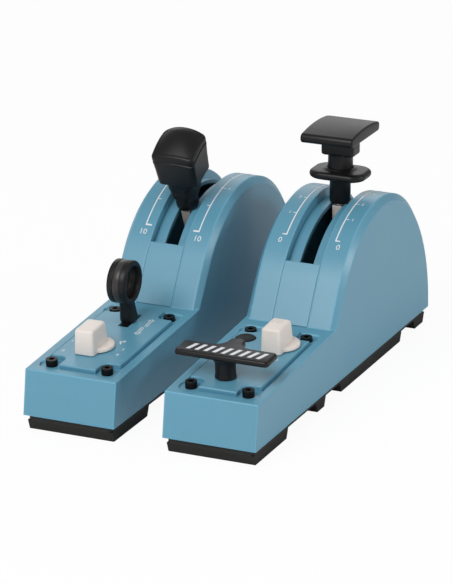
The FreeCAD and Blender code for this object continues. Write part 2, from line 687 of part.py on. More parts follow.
def control_plate(side, label, holes):
    """Raised plate with notched corners; holes are outlines in the deck frame."""
    piece = Piece(label)
    half = size("plate_half")
    front = size("plate_front")
    back = size("plate_back")
    nx = size("notch_x")
    low = size("notch_front")
    high = size("notch_back")
    bend = size("notch_radius")
    outline = [line((-nx, front), (nx, front)), line((nx, front), (nx, low - bend)),
               arc((nx + bend, low - bend), bend, 90, 180), line((nx + bend, low), (half, low)),
               line((half, low), (half, high)), line((half, high), (nx + bend, high)),
               arc((nx + bend, high + bend), bend, 180, 270), line((nx, high + bend), (nx, back)),
               line((nx, back), (-nx, back)), line((-nx, back), (-nx, high + bend)),
               arc((-nx - bend, high + bend), bend, 270, 360), line((-nx - bend, high), (-half, high)),
               line((-half, high), (-half, low)), line((-half, low), (-nx - bend, low)),
               arc((-nx - bend, low - bend), bend, 0, 90), line((-nx, low - bend), (-nx, front))]
    base = piece.sketch("XY_Plane", outline, -size("pocket_depth"))
    piece.feature("Pad", base, "$plate_top + $pocket_depth")
    top = size("plate_top")
    piece.round_edges("Chamfer", "$plate_edge", lambda e: flat_at(e, top))
    for outline in holes:
        piece.feature("Pocket", piece.sketch("XY_Plane", outline, top), "$plate_top + $pocket_depth + 1")
    piece.finish(deck_frame(side))


def flat_at(edge, height):
    """Whether all of an edge lies at a height."""
    return all(abs(v.Z - height) < 1e-4 for v in edge.Vertexes)


def plate_screws(side, label):
    """Four socket-head screws in the notches of the control plate."""
    screws = []
    for number, (x, y) in enumerate(screw_spots()):
        name = f"{label}_{number}"
        sink = size("screw_sink") if y == size("screw_back") else 0
        floor = Vector(x, y, -size("pocket_depth") - sink)
        head = cylinder(f"{name}_head", "$screw_head_radius", "$screw_head_height", floor)
        under = floor - Vector(0, 0, size("screw_shank_length"))
        shank = cylinder(f"{name}_shank", "$screw_shank_radius - $running_gap", "$screw_shank_length", under)
        key = doc.addObject("Part::Prism", f"{name}_key")
        key.Polygon = 6
        key.setExpression("Circumradius", bind("$screw_socket_radius"))
        key.setExpression("Height", bind("$screw_head_height"))
        key.Placement = Placement(floor + Vector(0, 0, size("screw_head_height") / 2), Rotation())
        screws.append(cut(f"{name}_cut", joined(f"{name}_solid", [head, shank]), key))
    node(group(label, screws), label, deck_frame(side))


def selector(side, label, x, y):
    """Rotary selector: round skirt with a tapered grip that starts at the skirt's front."""
    piece = Piece(label)
    low = size("plate_top") + size("knob_gap")
    piece.feature("Pad", piece.disc("XY_Plane", "$skirt_radius", height=low), "$skirt_thickness")
    half = size("grip_width") / 2
    front = -size("grip_front")
    back = front + size("grip_depth")
    draft = size("grip_draft")
    corner = size("grip_corner")
    foot = piece.sketch("XY_Plane", rounded(-half, front, half, back, corner), low)
    crest = rounded(-half + draft, front + draft, half - draft, back - size("grip_slope"), corner)
    crest = piece.sketch("XY_Plane", crest, size("grip_top"))
    piece.loft("Additive", [foot, crest])
    top = size("grip_top")
    piece.round_edges("Fillet", "$edge_round", lambda e: flat_at(e, top))
    piece.feature("Pocket", piece.disc("XY_Plane", "$spindle_radius", height=low), "$spindle_length / 2", reverse=True)
    piece.finish(deck_frame(side) * Placement(Vector(x, y, 0), Rotation()))


def spindle(side, label, x, y):
    """Selector spindle with a round foot inside the encoder."""
    low = size("plate_top") + size("knob_gap") + size("spindle_length") / 2
    start = Vector(0, 0, low - size("spindle_length"))
    made = cylinder(f"{label}_rod", "$spindle_radius", "$spindle_length", start)
    node(made, label, deck_frame(side) * Placement(Vector(x, y, 0) + start, Rotation()))


def encoder(side, label, x, y):
    """Encoder body under the plate with a bore for the spindle."""
    low = -size("pocket_depth") - size("encoder_height")
    case = block(f"{label}_case", "$encoder_size", "$encoder_size", "$encoder_height", Vector(0, 0, low))
    bore = cylinder(f"{label}_bore", "$spindle_radius + $running_gap", "$encoder_height * 2", Vector(0, 0, low + 1))
    node(cut(label, case, bore), label, deck_frame(side) * Placement(Vector(x, y, 0), Rotation()))


def push_button(side, label):
    """Round push button, slightly domed."""
    piece = Piece(label)
    foot = size("button_top") - size("button_length")
    piece.feature("Pad", piece.disc("XY_Plane", "$button_radius", height=foot), "$button_length")
    top = size("button_top")
    piece.round_edges("Fillet", "$edge_round / 2", lambda e: flat_at(e, top))
    piece.finish(deck_frame(side) * Placement(Vector(size("button_x"), size("button_y"), 0), Rotation()))


def button_switch(side, label):
    """Switch housing under the push button, with the contact at the bottom of its well."""
    well = size("button_top") - size("button_length") - size("tact_gap")
    low = well - size("switch_floor")
    case = block(f"{label}_case", "$switch_size", "$switch_size",
                 "$button_length - $button_top + $tact_gap + $switch_floor - $pocket_depth", Vector(0, 0, low))
    bore = cylinder(f"{label}_bore", "$button_radius + $free_gap", "$button_length + $tact_gap", Vector(0, 0, well))
    frame = deck_frame(side) * Placement(Vector(size("button_x"), size("button_y"), 0), Rotation())
    node(cut(label, case, bore), label, frame)


def park_bar_outline():
    """Parking handle from above: a straight bar with a rounded thumb pad behind the stem."""
    half = size("park_length") / 2
    depth = size("park_width") / 2
    corner = size("park_corner")
    pad = size("park_thumb")
    hollow = size("park_hollow")
    front = [line((-half + corner, -depth), (half - corner, -depth)),
             arc((half - corner, -depth + corner), corner, 270, 360),
             line((half, -depth + corner), (half, depth - corner)),
             arc((half - corner, depth - corner), corner, 0, 90),
             line((half - corner, depth), (pad + hollow, depth))]
    thumb = [arc((pad + hollow, depth + hollow), hollow, 180, 270),
             arc((0, depth + hollow), pad, 0, 180),
             arc((-pad - hollow, depth + hollow), hollow, 270, 360)]
    rear = [line((-pad - hollow, depth), (-half + corner, depth)),
            arc((-half + corner, depth - corner), corner, 90, 180),
            line((-half, depth - corner), (-half, -depth + corner)),
            arc((-half + corner, -depth + corner), corner, 180, 270)]
    return front + thumb + rear


def park_handle(side, label):
    """T-shaped parking handle: bar with thumb pad, flared stem and a spindle below."""
    piece = Piece(label)
    top = size("park_top")
    low = top - size("park_thickness")
    piece.feature("Pad", piece.sketch("XY_Plane", park_bar_outline(), low), "$park_thickness")
    piece.round_edges("Fillet", "$edge_round / 1.5", lambda e: flat_at(e, top))
    foot = size("plate_top") + size("knob_gap")
    stem = size("park_stem")
    flare = size("park_flare")
    sections = [
        piece.sketch("XY_Plane", [circle((0, (flare - stem) / 2), flare)], low + 0.2),
        piece.sketch("XY_Plane", [circle((0, (flare - stem) / 4), (stem * 2 + flare) / 3)], low - 3.5),
        piece.sketch("XY_Plane", [circle((0, 0), stem)], foot),
    ]
    piece.loft("Additive", sections, ruled=True)
    piece.feature("Pad", piece.disc("XY_Plane", "$park_spindle", height=foot - size("park_depth")),
                  "$park_depth + 1")
    piece.finish(deck_frame(side) * Placement(Vector(size("park_x"), size("park_y"), 0), Rotation()))


def circle(centre, radius):
    """Sketch circle."""
    return Part.Circle(Vector(*centre, 0), Vector(0, 0, 1), radius)


def park_carrier(side, label):
    """Sleeve that lifts with the parking handle, while the handle turns in it."""
    low = size("plate_top") + size("knob_gap") - size("park_depth") + size("carrier_wall")
    at = Vector(0, 0, low)
    shell = cylinder(f"{label}_shell", "$park_spindle + $carrier_wall", "$carrier_length", at)
    bore = cylinder(f"{label}_bore", "$park_spindle + $running_gap", "$carrier_length + 2", at - Vector(0, 0, 1))
    frame = deck_frame(side) * Placement(Vector(size("park_x"), size("park_y"), 0), Rotation())
    node(cut(label, shell, bore), label, frame)


def park_guide(side, label):
    """Round guide fixed under the plate that the lift sleeve slides in."""
    low = -size("pocket_depth") - size("guide_length")
    outer = "$park_spindle + $carrier_wall + $running_gap"
    case = cylinder(f"{label}_case", f"{outer} + $guide_wall", "$guide_length", Vector(0, 0, low))
    bore = cylinder(f"{label}_bore", outer, "2 * $guide_length", Vector(0, 0, low - 1))
    frame = deck_frame(side) * Placement(Vector(size("park_x"), size("park_y"), 0), Rotation())
    node(cut(label, case, bore), label, frame)


# ---------------------------------------------------------------- gear lever


def gear_lever(side, label):
    """Ring-shaped grip like a wheel on a short stem that swings about a pin."""
    piece = Piece(label)
    reach = size("gear_reach")
    half = size("ring_width") / 2
    outer = size("ring_radius")
    hole = size("ring_hole")
    bevel = size("ring_bevel")
    groove = size("ring_groove")
    section = closed([
        (-half, hole + bevel / 2), (-half, outer - bevel), (-half + bevel, outer), (-groove, outer),
        (0, outer - groove), (groove, outer), (half - bevel, outer), (half, outer - bevel),
        (half, hole + bevel / 2), (half - bevel / 2, hole), (-half + bevel / 2, hole),
    ])
    centre = Placement(Vector(0, reach, 0), Rotation())
    piece.revolve("Revolution", piece.sketch("XZ_Plane", section, frame=centre))
    stem = size("gear_stem")
    slim = size("gear_stem_top")
    low = size("gear_drop") + size("plate_top") + size("gear_clear")
    sections = [
        piece.sketch("XY_Plane", [circle((0, 0), size("gear_tongue") / 2)], low),
        piece.sketch("XY_Plane", [circle((0, 0), stem)], low + size("gear_foot")),
        piece.sketch("XY_Plane", [circle((0, 0), slim)], reach - outer + size("ring_groove") * 2),
    ]
    piece.loft("Additive", sections)
    wide = size("gear_tongue") / 2
    deep = stem - size("free_gap")
    tongue = piece.sketch("XY_Plane", closed([(-wide, -deep), (wide, -deep), (wide, deep), (-wide, deep)]))
    piece.feature("Pad", tongue, "$gear_drop + $plate_top + $gear_clear + $gear_foot")
    piece.feature("Pad", piece.disc("YZ_Plane", "$gear_stem"), "$gear_tongue", midplane=True)
    piece.feature("Pocket", piece.disc("YZ_Plane", "$gear_pin + $running_gap"), "2 * $gear_tongue", midplane=True)
    piece.finish(gear_frame(side, size("gear_lean")))


def gear_fork(side, label):
    """Fork under the plate that holds the gear lever's pin."""
    inner = size("gear_tongue") / 2 + size("free_gap")
    wall = size("bracket_wall")
    low = -size("gear_stem") - size("free_gap") - wall
    top = size("gear_drop") - size("pocket_depth")
    outline = closed([(-inner - wall, low), (inner + wall, low), (inner + wall, top), (inner, top),
                      (inner, low + wall), (-inner, low + wall), (-inner, top), (-inner - wall, top)])
    piece = Piece(label)
    piece.feature("Pad", piece.sketch("XZ_Plane", outline), "$fork_depth", midplane=True)
    piece.feature("Pocket", piece.disc("YZ_Plane", "$gear_pin"), "$fork_depth * 4", midplane=True)
    piece.finish(gear_frame(side, size("deck_slope")))


def gear_pin(side, label):
    """Pin of the gear lever, fixed in the fork."""
    made = cylinder(f"{label}_rod", "$gear_pin", "$gear_tongue + 2 * ($free_gap + $bracket_wall)")
    span = size("gear_tongue") + 2 * (size("free_gap") + size("bracket_wall"))
    node(made, label, gear_frame(side, size("deck_slope")) * Placement(Vector(-span / 2, 0, 0), ALONG_X))


# ---------------------------------------------------------------- lever drive


def involute(angle):
    """Involute function of an angle in radians."""
    return math.tan(angle) - angle


def gear_outline(teeth, first, count):
    """Outline of a gear with some of its teeth; angles in degrees counter-clockwise from u."""
    pitch = size("tooth_size") * teeth / 2
    pressure = math.radians(20)
    base = pitch * math.cos(pressure)
    tip = pitch + 0.7 * size("tooth_size")
    root = pitch - 0.95 * size("tooth_size")
    half_tooth = (math.pi / 2 * size("tooth_size") - size("backlash")) / (2 * pitch)
    flank = []
    for step in range(4):
        radius = max(base, root) + (tip - max(base, root)) * step / 3
        spread = half_tooth + involute(pressure) - involute(math.acos(min(1.0, base / radius)))
        flank.append((radius, spread))
    if root < base:
        flank.insert(0, (root, flank[0][1]))
    points = []
    for index in range(count):
        middle = math.radians(first + index * 360 / teeth)
        for radius, spread in flank:
            points.append((radius * math.cos(middle - spread), radius * math.sin(middle - spread)))
        for radius, spread in reversed(flank):
            points.append((radius * math.cos(middle + spread), radius * math.sin(middle + spread)))
    return points


def lever_hub(side, label, lean):
    """Hub on the axle with a pocket for the blade."""
    half = size("hub_width") / 2
    drum = cylinder(f"{label}_drum", "$hub_radius", "$hub_width", Vector(-half, 0, 0), ALONG_X)
    bore = cylinder(f"{label}_bore", "$axle_radius + $running_gap", "$hub_width + 2", Vector(-half - 1, 0, 0), ALONG_X)
    pocket = block(f"{label}_pocket", "$blade_width", "$blade_depth", "$hub_radius", Vector(0, 0, size("blade_foot")))
    tools = joined(f"{label}_tools", [bore, pocket])
    node(cut(label, drum, tools), label, lever_frame(side, lean))


def lever_blade(side, label, lean, rod_top):
    """Flat blade seated in the hub, with a rod above it that carries the grip."""
    foot = size("blade_foot")
    flat = block(f"{label}_flat", "$blade_width", "$blade_depth", "$blade_top - $blade_foot", Vector(0, 0, foot))
    rod = cylinder(f"{label}_rod", "$rod_radius", f"${rod_top} - $blade_top", Vector(0, 0, size("blade_top")))
    node(joined(label, [flat, rod]), label, lever_frame(side, lean))


def sector_first():
    """Angle of the sector's first tooth in the lever frame."""
    step = 360 / size("sector_teeth")
    return 90 - size("pinion_angle") - (size("sector_count") - 1) / 2 * step


def toothed_sector(side, label, lean):
    """Toothed sector on the side of the hub that drives the sensor pinion."""
    teeth = size("sector_teeth")
    step = 360 / teeth
    count = int(size("sector_count"))
    first = sector_first()
    points = gear_outline(teeth, first, count)
    arm = size("hub_radius") * 0.75
    start = math.radians(first - step / 2)
    stop = math.radians(first + (count - 0.5) * step)
    points = ([(arm * math.cos(start), arm * math.sin(start))] + points
              + [(arm * math.cos(stop), arm * math.sin(stop)), (-arm, -arm / 2), (0, -arm)])
    piece = Piece(label)
    offset = size("hub_width") / 2
    piece.feature("Pad", piece.sketch("YZ_Plane", closed(points), offset), "$sector_wall")
    piece.feature("Pocket", piece.disc("YZ_Plane", "$axle_radius + $free_gap", height=offset), "4 * $sector_wall",
                  midplane=True)
    piece.finish(lever_frame(side, lean))


def pinion_spot():
    """Centre of the sensor pinion in the module frame."""
    reach = size("tooth_size") * (size("sector_teeth") + size("pinion_teeth")) / 2
    return polar((size("pivot_y"), size("pivot_z")), reach, size("pinion_angle"))


def sensor_pinion(side, label, lean):
    """Small gear with a shaft and magnet holder, in mesh with the sector at rest."""
    piece = Piece(label)
    ratio = size("sector_teeth") / size("pinion_teeth")
    step = 360 / size("sector_teeth")
    centres = 90 - size("pinion_angle")
    offset = (sector_first() + lean - centres) % step
    phase = centres + 180 - offset * ratio + 180 / size("pinion_teeth")
    teeth = int(size("pinion_teeth"))
    outline = closed(gear_outline(teeth, phase, teeth))
    offset_x = size("hub_width") / 2
    piece.feature("Pad", piece.sketch("YZ_Plane", outline, offset_x), "$sector_wall")
    shaft = piece.disc("YZ_Plane", "$sensor_shaft", height=offset_x)
    piece.feature("Pad", shaft, "$bracket_x - $hub_width / 2 + $bracket_wall + $sensor_entry")
    y, z = pinion_spot()
    piece.finish(module_frame(side) * Placement(Vector(0, y, z), Rotation()))


def axle_bracket(side, label, which):
    """Upright bracket with bores for a bush and, on the sensor's side, for the pinion shaft."""
    piece = Piece(label)
    floor = size("foot_height") + size("tray_floor")
    y, z = size("pivot_y"), size("pivot_z")
    half = size("bracket_depth") / 2
    py, pz = pinion_spot()
    edge = size("sensor_size") / 2 + 1
    outline = closed([(y - half, floor), (y + half, floor), (y + half, z), (py + edge, pz - edge),
                      (py + edge, pz + edge), (py - edge, pz + edge), (y - half * 0.7, z + half * 0.7),
                      (y - half, z)])
    inner = size("bracket_x") if which > 0 else -size("bracket_x") - size("bracket_wall")
    piece.feature("Pad", piece.sketch("YZ_Plane", outline, inner), "$bracket_wall")
    bore = piece.disc("YZ_Plane", "$bush_radius", (y, z), inner)
    piece.feature("Pocket", bore, "4 * $bracket_wall", midplane=True)
    hole = piece.disc("YZ_Plane", "$sensor_shaft + $running_gap", (py, pz), inner)
    piece.feature("Pocket", hole, "4 * $bracket_wall", midplane=True)
    flange_x = inner + (size("bracket_wall") if which > 0 else -size("bracket_flange"))
    base = closed([(y - half, floor), (y + half, floor), (y + half, floor + size("bracket_wall")),
                   (y - half, floor + size("bracket_wall"))])
    piece.feature("Pad", piece.sketch("YZ_Plane", base, flange_x), "$bracket_flange")
    spots = [circle(spot, size("small_shank")) for spot in bracket_spots() if spot[0] * which > 0]
    piece.feature("Pocket", piece.sketch("XY_Plane", spots, floor + size("bracket_wall")), "$bracket_wall + 1")
    piece.finish(module_frame(side))


def bracket_spots():
    """The four bracket screws in the module frame."""
    x = size("bracket_x") + size("bracket_wall") + size("bracket_flange") / 2
    y = size("pivot_y")
    reach = size("bracket_screw_y")
    return [(sx * x, y + sy * reach) for sx in (-1, 1) for sy in (-1, 1)]


def bracket_screws(side, label):
    """Four screws through the bracket feet into the tray floor."""
    floor = size("foot_height") + size("tray_floor")
    screws = []
    for number, (x, y) in enumerate(bracket_spots()):
        name = f"{label}_{number}"
        shank = cylinder(f"{name}_shank", "$small_shank", "$bracket_wall + $pilot_depth",
                         Vector(x, y, floor - size("pilot_depth")))
        head = cylinder(f"{name}_head", "$small_head", "$small_height", Vector(x, y, floor + size("bracket_wall")))
        screws.append(joined(f"{name}_solid", [shank, head]))
    node(group(label, screws), label, module_frame(side))


def axle_bushes(side, label):
    """Two flanged bushes in the brackets."""
    bushes = []
    for sign in (-1, 1):
        x = size("bracket_x") if sign > 0 else -size("bracket_x") - size("bracket_wall")
        flange_x = size("bracket_x") - size("bush_collar") if sign > 0 else -size("bracket_x")
        sleeve = cylinder(f"{label}_sleeve{sign + 1}", "$bush_radius", "$bracket_wall", Vector(x, 0, 0), ALONG_X)
        flange = cylinder(f"{label}_flange{sign + 1}", "$bush_flange", "$bush_collar", Vector(flange_x, 0, 0), ALONG_X)
        solid = joined(f"{label}_solid{sign + 1}", [sleeve, flange])
        bore = cylinder(f"{label}_bore{sign + 1}", "$axle_radius", "$axle_length", Vector(-size("axle_length") / 2, 0, 0),
                        ALONG_X)
        bushes.append(cut(f"{label}_cut{sign + 1}", solid, bore))
    node(group(label, bushes), label, lever_frame(side, 0))


def axle(side, label):
    """Plain axle through both brackets."""
    made = cylinder(f"{label}_rod", "$axle_radius", "$axle_length")
    start = Placement(Vector(-size("axle_length") / 2, 0, 0), ALONG_X)
    node(made, label, lever_frame(side, 0) * start)


def friction_rings(side, label):
    """Felt rings between the bushes and the hub that hold the lever where it is left."""
    rings = []
    left = -size("bracket_x") + size("bush_collar")
    right = size("hub_width") / 2 + size("sector_wall") + size("free_gap") / 2
    lengths = (size("bracket_x") - size("bush_collar") - size("hub_width") / 2 - size("free_gap") / 2,
               size("bracket_x") - size("bush_collar") - right)
    for number, (start, length) in enumerate(zip((left, right), lengths)):
        outer = cylinder(f"{label}_outer{number}", "$bush_radius", f"{length}", Vector(start, 0, 0), ALONG_X)
        inner = cylinder(f"{label}_inner{number}", "$axle_radius", f"{length + 2}", Vector(start - 1, 0, 0), ALONG_X)
        rings.append(cut(f"{label}_cut{number}", outer, inner))
    node(group(label, rings), label, lever_frame(side, 0))


def angle_sensor(side, label):
    """Hall sensor case on the outside of the right-hand bracket."""
    y, z = pinion_spot()
    x = size("bracket_x") + size("bracket_wall")
    case = block(f"{label}_case", "$sensor_depth", "$sensor_size", "$sensor_size",
                 Vector(x + size("sensor_depth") / 2, y, z - size("sensor_size") / 2))
    bore = cylinder(f"{label}_bore", "$sensor_shaft + $running_gap", "2 * $sensor_entry", Vector(x - 1, y, z), ALONG_X)
    node(cut(label, case, bore), label, module_frame(side))


def circuit_board(side, label):
    """Circuit board on four pillars of the base tray, with a processor and a plug block."""
    floor = size("foot_height") + size("tray_floor")
    under = floor + size("board_lift")
    y = size("board_y")
    board = block(f"{label}_sheet", "$board_width", "$board_length", "$board_wall", Vector(0, y, under))
    parts = [board]
    dx = size("board_width") / 2 - size("board_post_edge")
    dy = size("board_length") / 2 - size("board_post_edge")
    for number, (sx, sy) in enumerate(((-1, -1), (1, -1), (-1, 1), (1, 1))):
        spot = Vector(sx * dx, y + sy * dy, floor)
        parts.append(cylinder(f"{label}_pillar{number}", "$board_post", "$board_lift", spot))
    top = under + size("board_wall")
    parts.append(block(f"{label}_chip", "$encoder_size", "$encoder_size", "$board_wall", Vector(0, y, top)))
    plug = Vector(0, y + dy, top)
    parts.append(block(f"{label}_plug", "$encoder_size", "$encoder_height", "$encoder_height", plug))
    node(joined(label, parts), label, module_frame(side))


# ---------------------------------------------------------------- lever grips


def lift_collar(side, label):
    """Sleeve and finger collar that slide up the flap lever's rod; the neck dips into the collar."""
    piece = Piece(label)
    foot = size("sleeve_foot")
    low = size("collar_low")
    piece.feature("Pad", piece.disc("XY_Plane", "$sleeve_radius", height=foot), "$collar_low - $sleeve_foot + 1")
    hx = size("collar_half_x")
    hy = size("collar_half_y")
    oval = rounded(-hx, -hy, hx, hy, size("collar_corner"))
    piece.feature("Pad", piece.sketch("XY_Plane", oval, low), "$collar_wall")
    high = low + size("collar_wall")
    piece.round_edges("Fillet", "$collar_round", lambda e: (flat_at(e, high) or flat_at(e, low)) and outside(e, hy))
    recess = piece.disc("XY_Plane", "$neck_radius + $free_gap", height=high)
    piece.feature("Pocket", recess, "$collar_recess")
    bore = piece.disc("XY_Plane", "$rod_radius + $running_gap", height=high)
    piece.feature("Pocket", bore, "$collar_low - $sleeve_foot + 2 * $collar_wall")
    piece.finish(lever_frame(side, 0))


def outside(edge, radius):
    """Whether the middle of an edge lies at least nearly a radius away from the lever's axis."""
    middle = edge.valueAt((edge.FirstParameter + edge.LastParameter) / 2)
    return math.hypot(middle.x, middle.y) > radius * 0.9


def flap_grip(side, label):
    """Paddle with an arched top on a block, with a round neck that the collar lifts towards."""
    piece = Piece(label)
    low = size("paddle_low")
    front = size("paddle_front")
    back = size("paddle_back")
    radius = size("paddle_radius")
    tip = size("paddle_tip")
    rise = math.sqrt(radius ** 2 - front ** 2)
    rear = math.sqrt(radius ** 2 - back ** 2)
    outline = [
        line((front + tip, low), (back - tip, low)), line((back - tip, low), (back, low + tip)),
        line((back, low + tip), (back, rear)),
        arc((0, 0), radius, math.degrees(math.atan2(rear, back)), math.degrees(math.atan2(rise, front))),
        line((front, rise), (front, low + tip)), line((front, low + tip), (front + tip, low)),
    ]
    piece.feature("Pad", piece.sketch("YZ_Plane", outline), "2 * $paddle_half", midplane=True)
    piece.round_edges("Fillet", "$edge_round", lambda e: min(v.Z for v in e.Vertexes) > low + tip + 0.01)
    bx = size("block_half_x")
    by = size("block_half_y")
    base = piece.sketch("XY_Plane", rounded(-bx, -by, bx, by, size("block_corner")), size("block_low"))
    piece.feature("Pad", base, "$paddle_low - $block_low + 1")
    foot = size("neck_foot")
    piece.feature("Pad", piece.disc("XY_Plane", "$neck_radius", height=foot), "$block_low - $neck_foot + 1")
    well = piece.disc("XY_Plane", "$spring_well", height=foot)
    piece.feature("Pocket", well, "$spring_depth", reverse=True)
    bore = piece.disc("XY_Plane", "$rod_radius", height=foot)
    piece.feature("Pocket", bore, "$flap_rod_top - $neck_foot", reverse=True)
    piece.finish(lever_frame(side, 0))


def speed_grip(side, label):
    """Block-shaped head with a domed top on a funnel-shaped neck."""
    piece = Piece(label)
    half = size("head_half")
    front = size("head_front")
    back = size("head_back")
    low = size("head_low")
    high = size("head_top")
    foot = size("ferrule_radius")
    corner = size("head_corner")
    taper = size("head_taper")
    neck = size("neck_half")
    middle = (front + back) / 2 * taper
    slim = rounded(-half * taper, front * taper, half * taper, back * taper, corner)
    full = rounded(-half, front, half, back, corner)
    top = piece.sketch("XY_Plane", full, high)
    piece.loft("Additive", [piece.sketch("XY_Plane", slim, low), top])
    narrow = rounded(-foot, -foot, foot, foot, corner)
    wide = rounded(-neck, middle - neck, neck, middle + neck, corner)
    throat = [piece.sketch("XY_Plane", narrow, size("head_foot")),
              piece.sketch("XY_Plane", wide, size("neck_top")), piece.sketch("XY_Plane", wide, low + 1)]
    piece.loft("Additive", throat)
    crown = size("head_crown")
    for plane, left, right, width in (("YZ_Plane", front, back, "4 * $head_half"),
                                      ("XZ_Plane", -half, half, "4 * $head_back")):
        piece.feature("Pocket", piece.sketch(plane, above_arc(left, right, high, crown)), width, midplane=True)
    bore = piece.disc("XY_Plane", "$rod_radius", height=size("head_foot"))
    piece.feature("Pocket", bore, "$speed_rod_top - $head_foot", reverse=True)
    piece.finish(lever_frame(side, size("speed_tilt")))


def above_arc(left, right, top, crown):
    """Outline of what lies above a crowned line that peaks at the top between two ends."""
    reach = (right - left) / 2
    radius = (reach ** 2 + crown ** 2) / (2 * crown)
    centre = ((left + right) / 2, top - radius)
    spread = math.degrees(math.asin(reach / radius))
    low = top - crown
    return [
        arc(centre, radius, 90 - spread, 90 + spread), line((left, low), (left - crown, low - crown)),
        line((left - crown, low - crown), (left - crown, top + crown)),
        line((left - crown, top + crown), (right + crown, top + crown)),
        line((right + crown, top + crown), (right + crown, low - crown)),
        line((right + crown, low - crown), (right, low)),
    ]


def ferrule(side, label):
    """Tapered ferrule between the blade and the speed lever's head."""
    piece = Piece(label)
    foot = size("ferrule_foot")
    top = size("head_foot")
    wide = size("ferrule_radius")
    rod = size("rod_radius")
    lip = size("ferrule_lip")
    outline = closed([(rod, foot), (rod + lip, foot), (wide, foot + 3 * lip), (wide, top), (rod, top)])
    piece.revolve("Revolution", piece.sketch("XZ_Plane", outline), "V_Axis")
    piece.finish(lever_frame(side, size("speed_tilt")))


# ---------------------------------------------------------------- the two modules


def common_pieces(side, name):
    """Pieces that both modules share."""
    housing(side, f"{name}_housing")
    centre_strip(side, f"{name}_strip")
    base_tray(side, f"{name}_base")
    feet(side, f"{name}_feet")
    data_socket(side, f"{name}_socket")
    plate_screws(side, f"{name}_screws")
    axle(side, f"{name}_axle")
    axle_bushes(side, f"{name}_bushes")
    axle_bracket(side, f"{name}_outer_bracket", -1)
    axle_bracket(side, f"{name}_sensor_bracket", 1)
    bracket_screws(side, f"{name}_bracket_screws")
    friction_rings(side, f"{name}_friction_rings")
    angle_sensor(side, f"{name}_sensor")
    circuit_board(side, f"{name}_board")


def lever_drive(side, name, lean, rod_top):
    """Moving pieces below a lever's grip."""
    lever_hub(side, f"{name}_hub", lean)
    lever_blade(side, f"{name}_blade", lean, rod_top)
    toothed_sector(side, f"{name}_sector", lean)
    sensor_pinion(side, f"{name}_pinion", lean)


def spindle_hole(x, y):
    """Hole in a control plate for a selector's spindle."""
    return [circle((x, y), size("spindle_radius") + size("free_gap"))]


def left_module():
    """Module with the speed lever, the gear lever and the autobrake selector."""
    side = -1
    common_pieces(side, "left")
    lever_drive(side, "speed", size("speed_tilt"), "speed_rod_top")
    ferrule(side, "speed_ferrule")
    speed_grip(side, "speed_grip")
    gear_lever(side, "gear_lever")
    gear_fork(side, "gear_fork")
    gear_pin(side, "gear_pin")
    x, y = size("brake_knob_x"), size("brake_knob_y")
    selector(side, "autobrake_knob", x, y)
    spindle(side, "autobrake_spindle", x, y)
    encoder(side, "autobrake_encoder", x, y)
    half = size("gear_slot") / 2
    middle = size("gear_x")
    slot = rounded(middle - half, size("gear_slot_front"), middle + half, size("gear_slot_back"), half / 4)
    control_plate(side, "left_plate", [spindle_hole(x, y), slot])


def right_module():
    """Module with the flap lever, the parking handle, the trim selector and the push button."""
    side = 1
    common_pieces(side, "right")
    lever_drive(side, "flap", 0, "flap_rod_top")
    lift_collar(side, "flap_collar")
    flap_grip(side, "flap_grip")
    park_handle(side, "park_handle")
    park_carrier(side, "park_carrier")
    park_guide(side, "park_guide")
    x, y = size("trim_knob_x"), size("trim_knob_y")
    selector(side, "trim_knob", x, y)
    spindle(side, "trim_spindle", x, y)
    encoder(side, "trim_encoder", x, y)
    push_button(side, "push_button")
    button_switch(side, "push_button_switch")
    park = size("park_spindle") + size("carrier_wall") + size("free_gap")
    holes = [spindle_hole(x, y), [circle((size("park_x"), size("park_y")), park)],
             [circle((size("button_x"), size("button_y")), size("button_radius") + size("free_gap"))]]
    control_plate(side, "right_plate", holes)


def check_document():
    """Stop when any object failed or any node has no valid solid."""
    doc.recompute()
    for made in doc.Objects:
        if "Invalid" in made.State or "Error" in made.State:
            raise RuntimeError(f"{made.Name}: {made.State}")
    for label, made in NODES.items():
        shape = made.Shape
        if shape.isNull() or not shape.isValid() or not shape.Solids:
            raise RuntimeError(f"{label} has no valid solid")


left_module()
right_module()
check_document()
os.makedirs("parts", exist_ok=True)
for label, made in NODES.items():
    made.Shape.exportStep(f"parts/{label}.step")
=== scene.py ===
"""Studio scene of a two-module throttle quadrant: finishes, soft-edged grips and print on the shared frame.

Lengths inside the piece classes are millimetres in the piece's own local frame; a Frame turns them into
metres of the shared row frame as it makes the mesh.
"""
from __future__ import annotations

import json
import logging
import math
from collections.abc import Callable
from dataclasses import dataclass, field
from enum import Enum

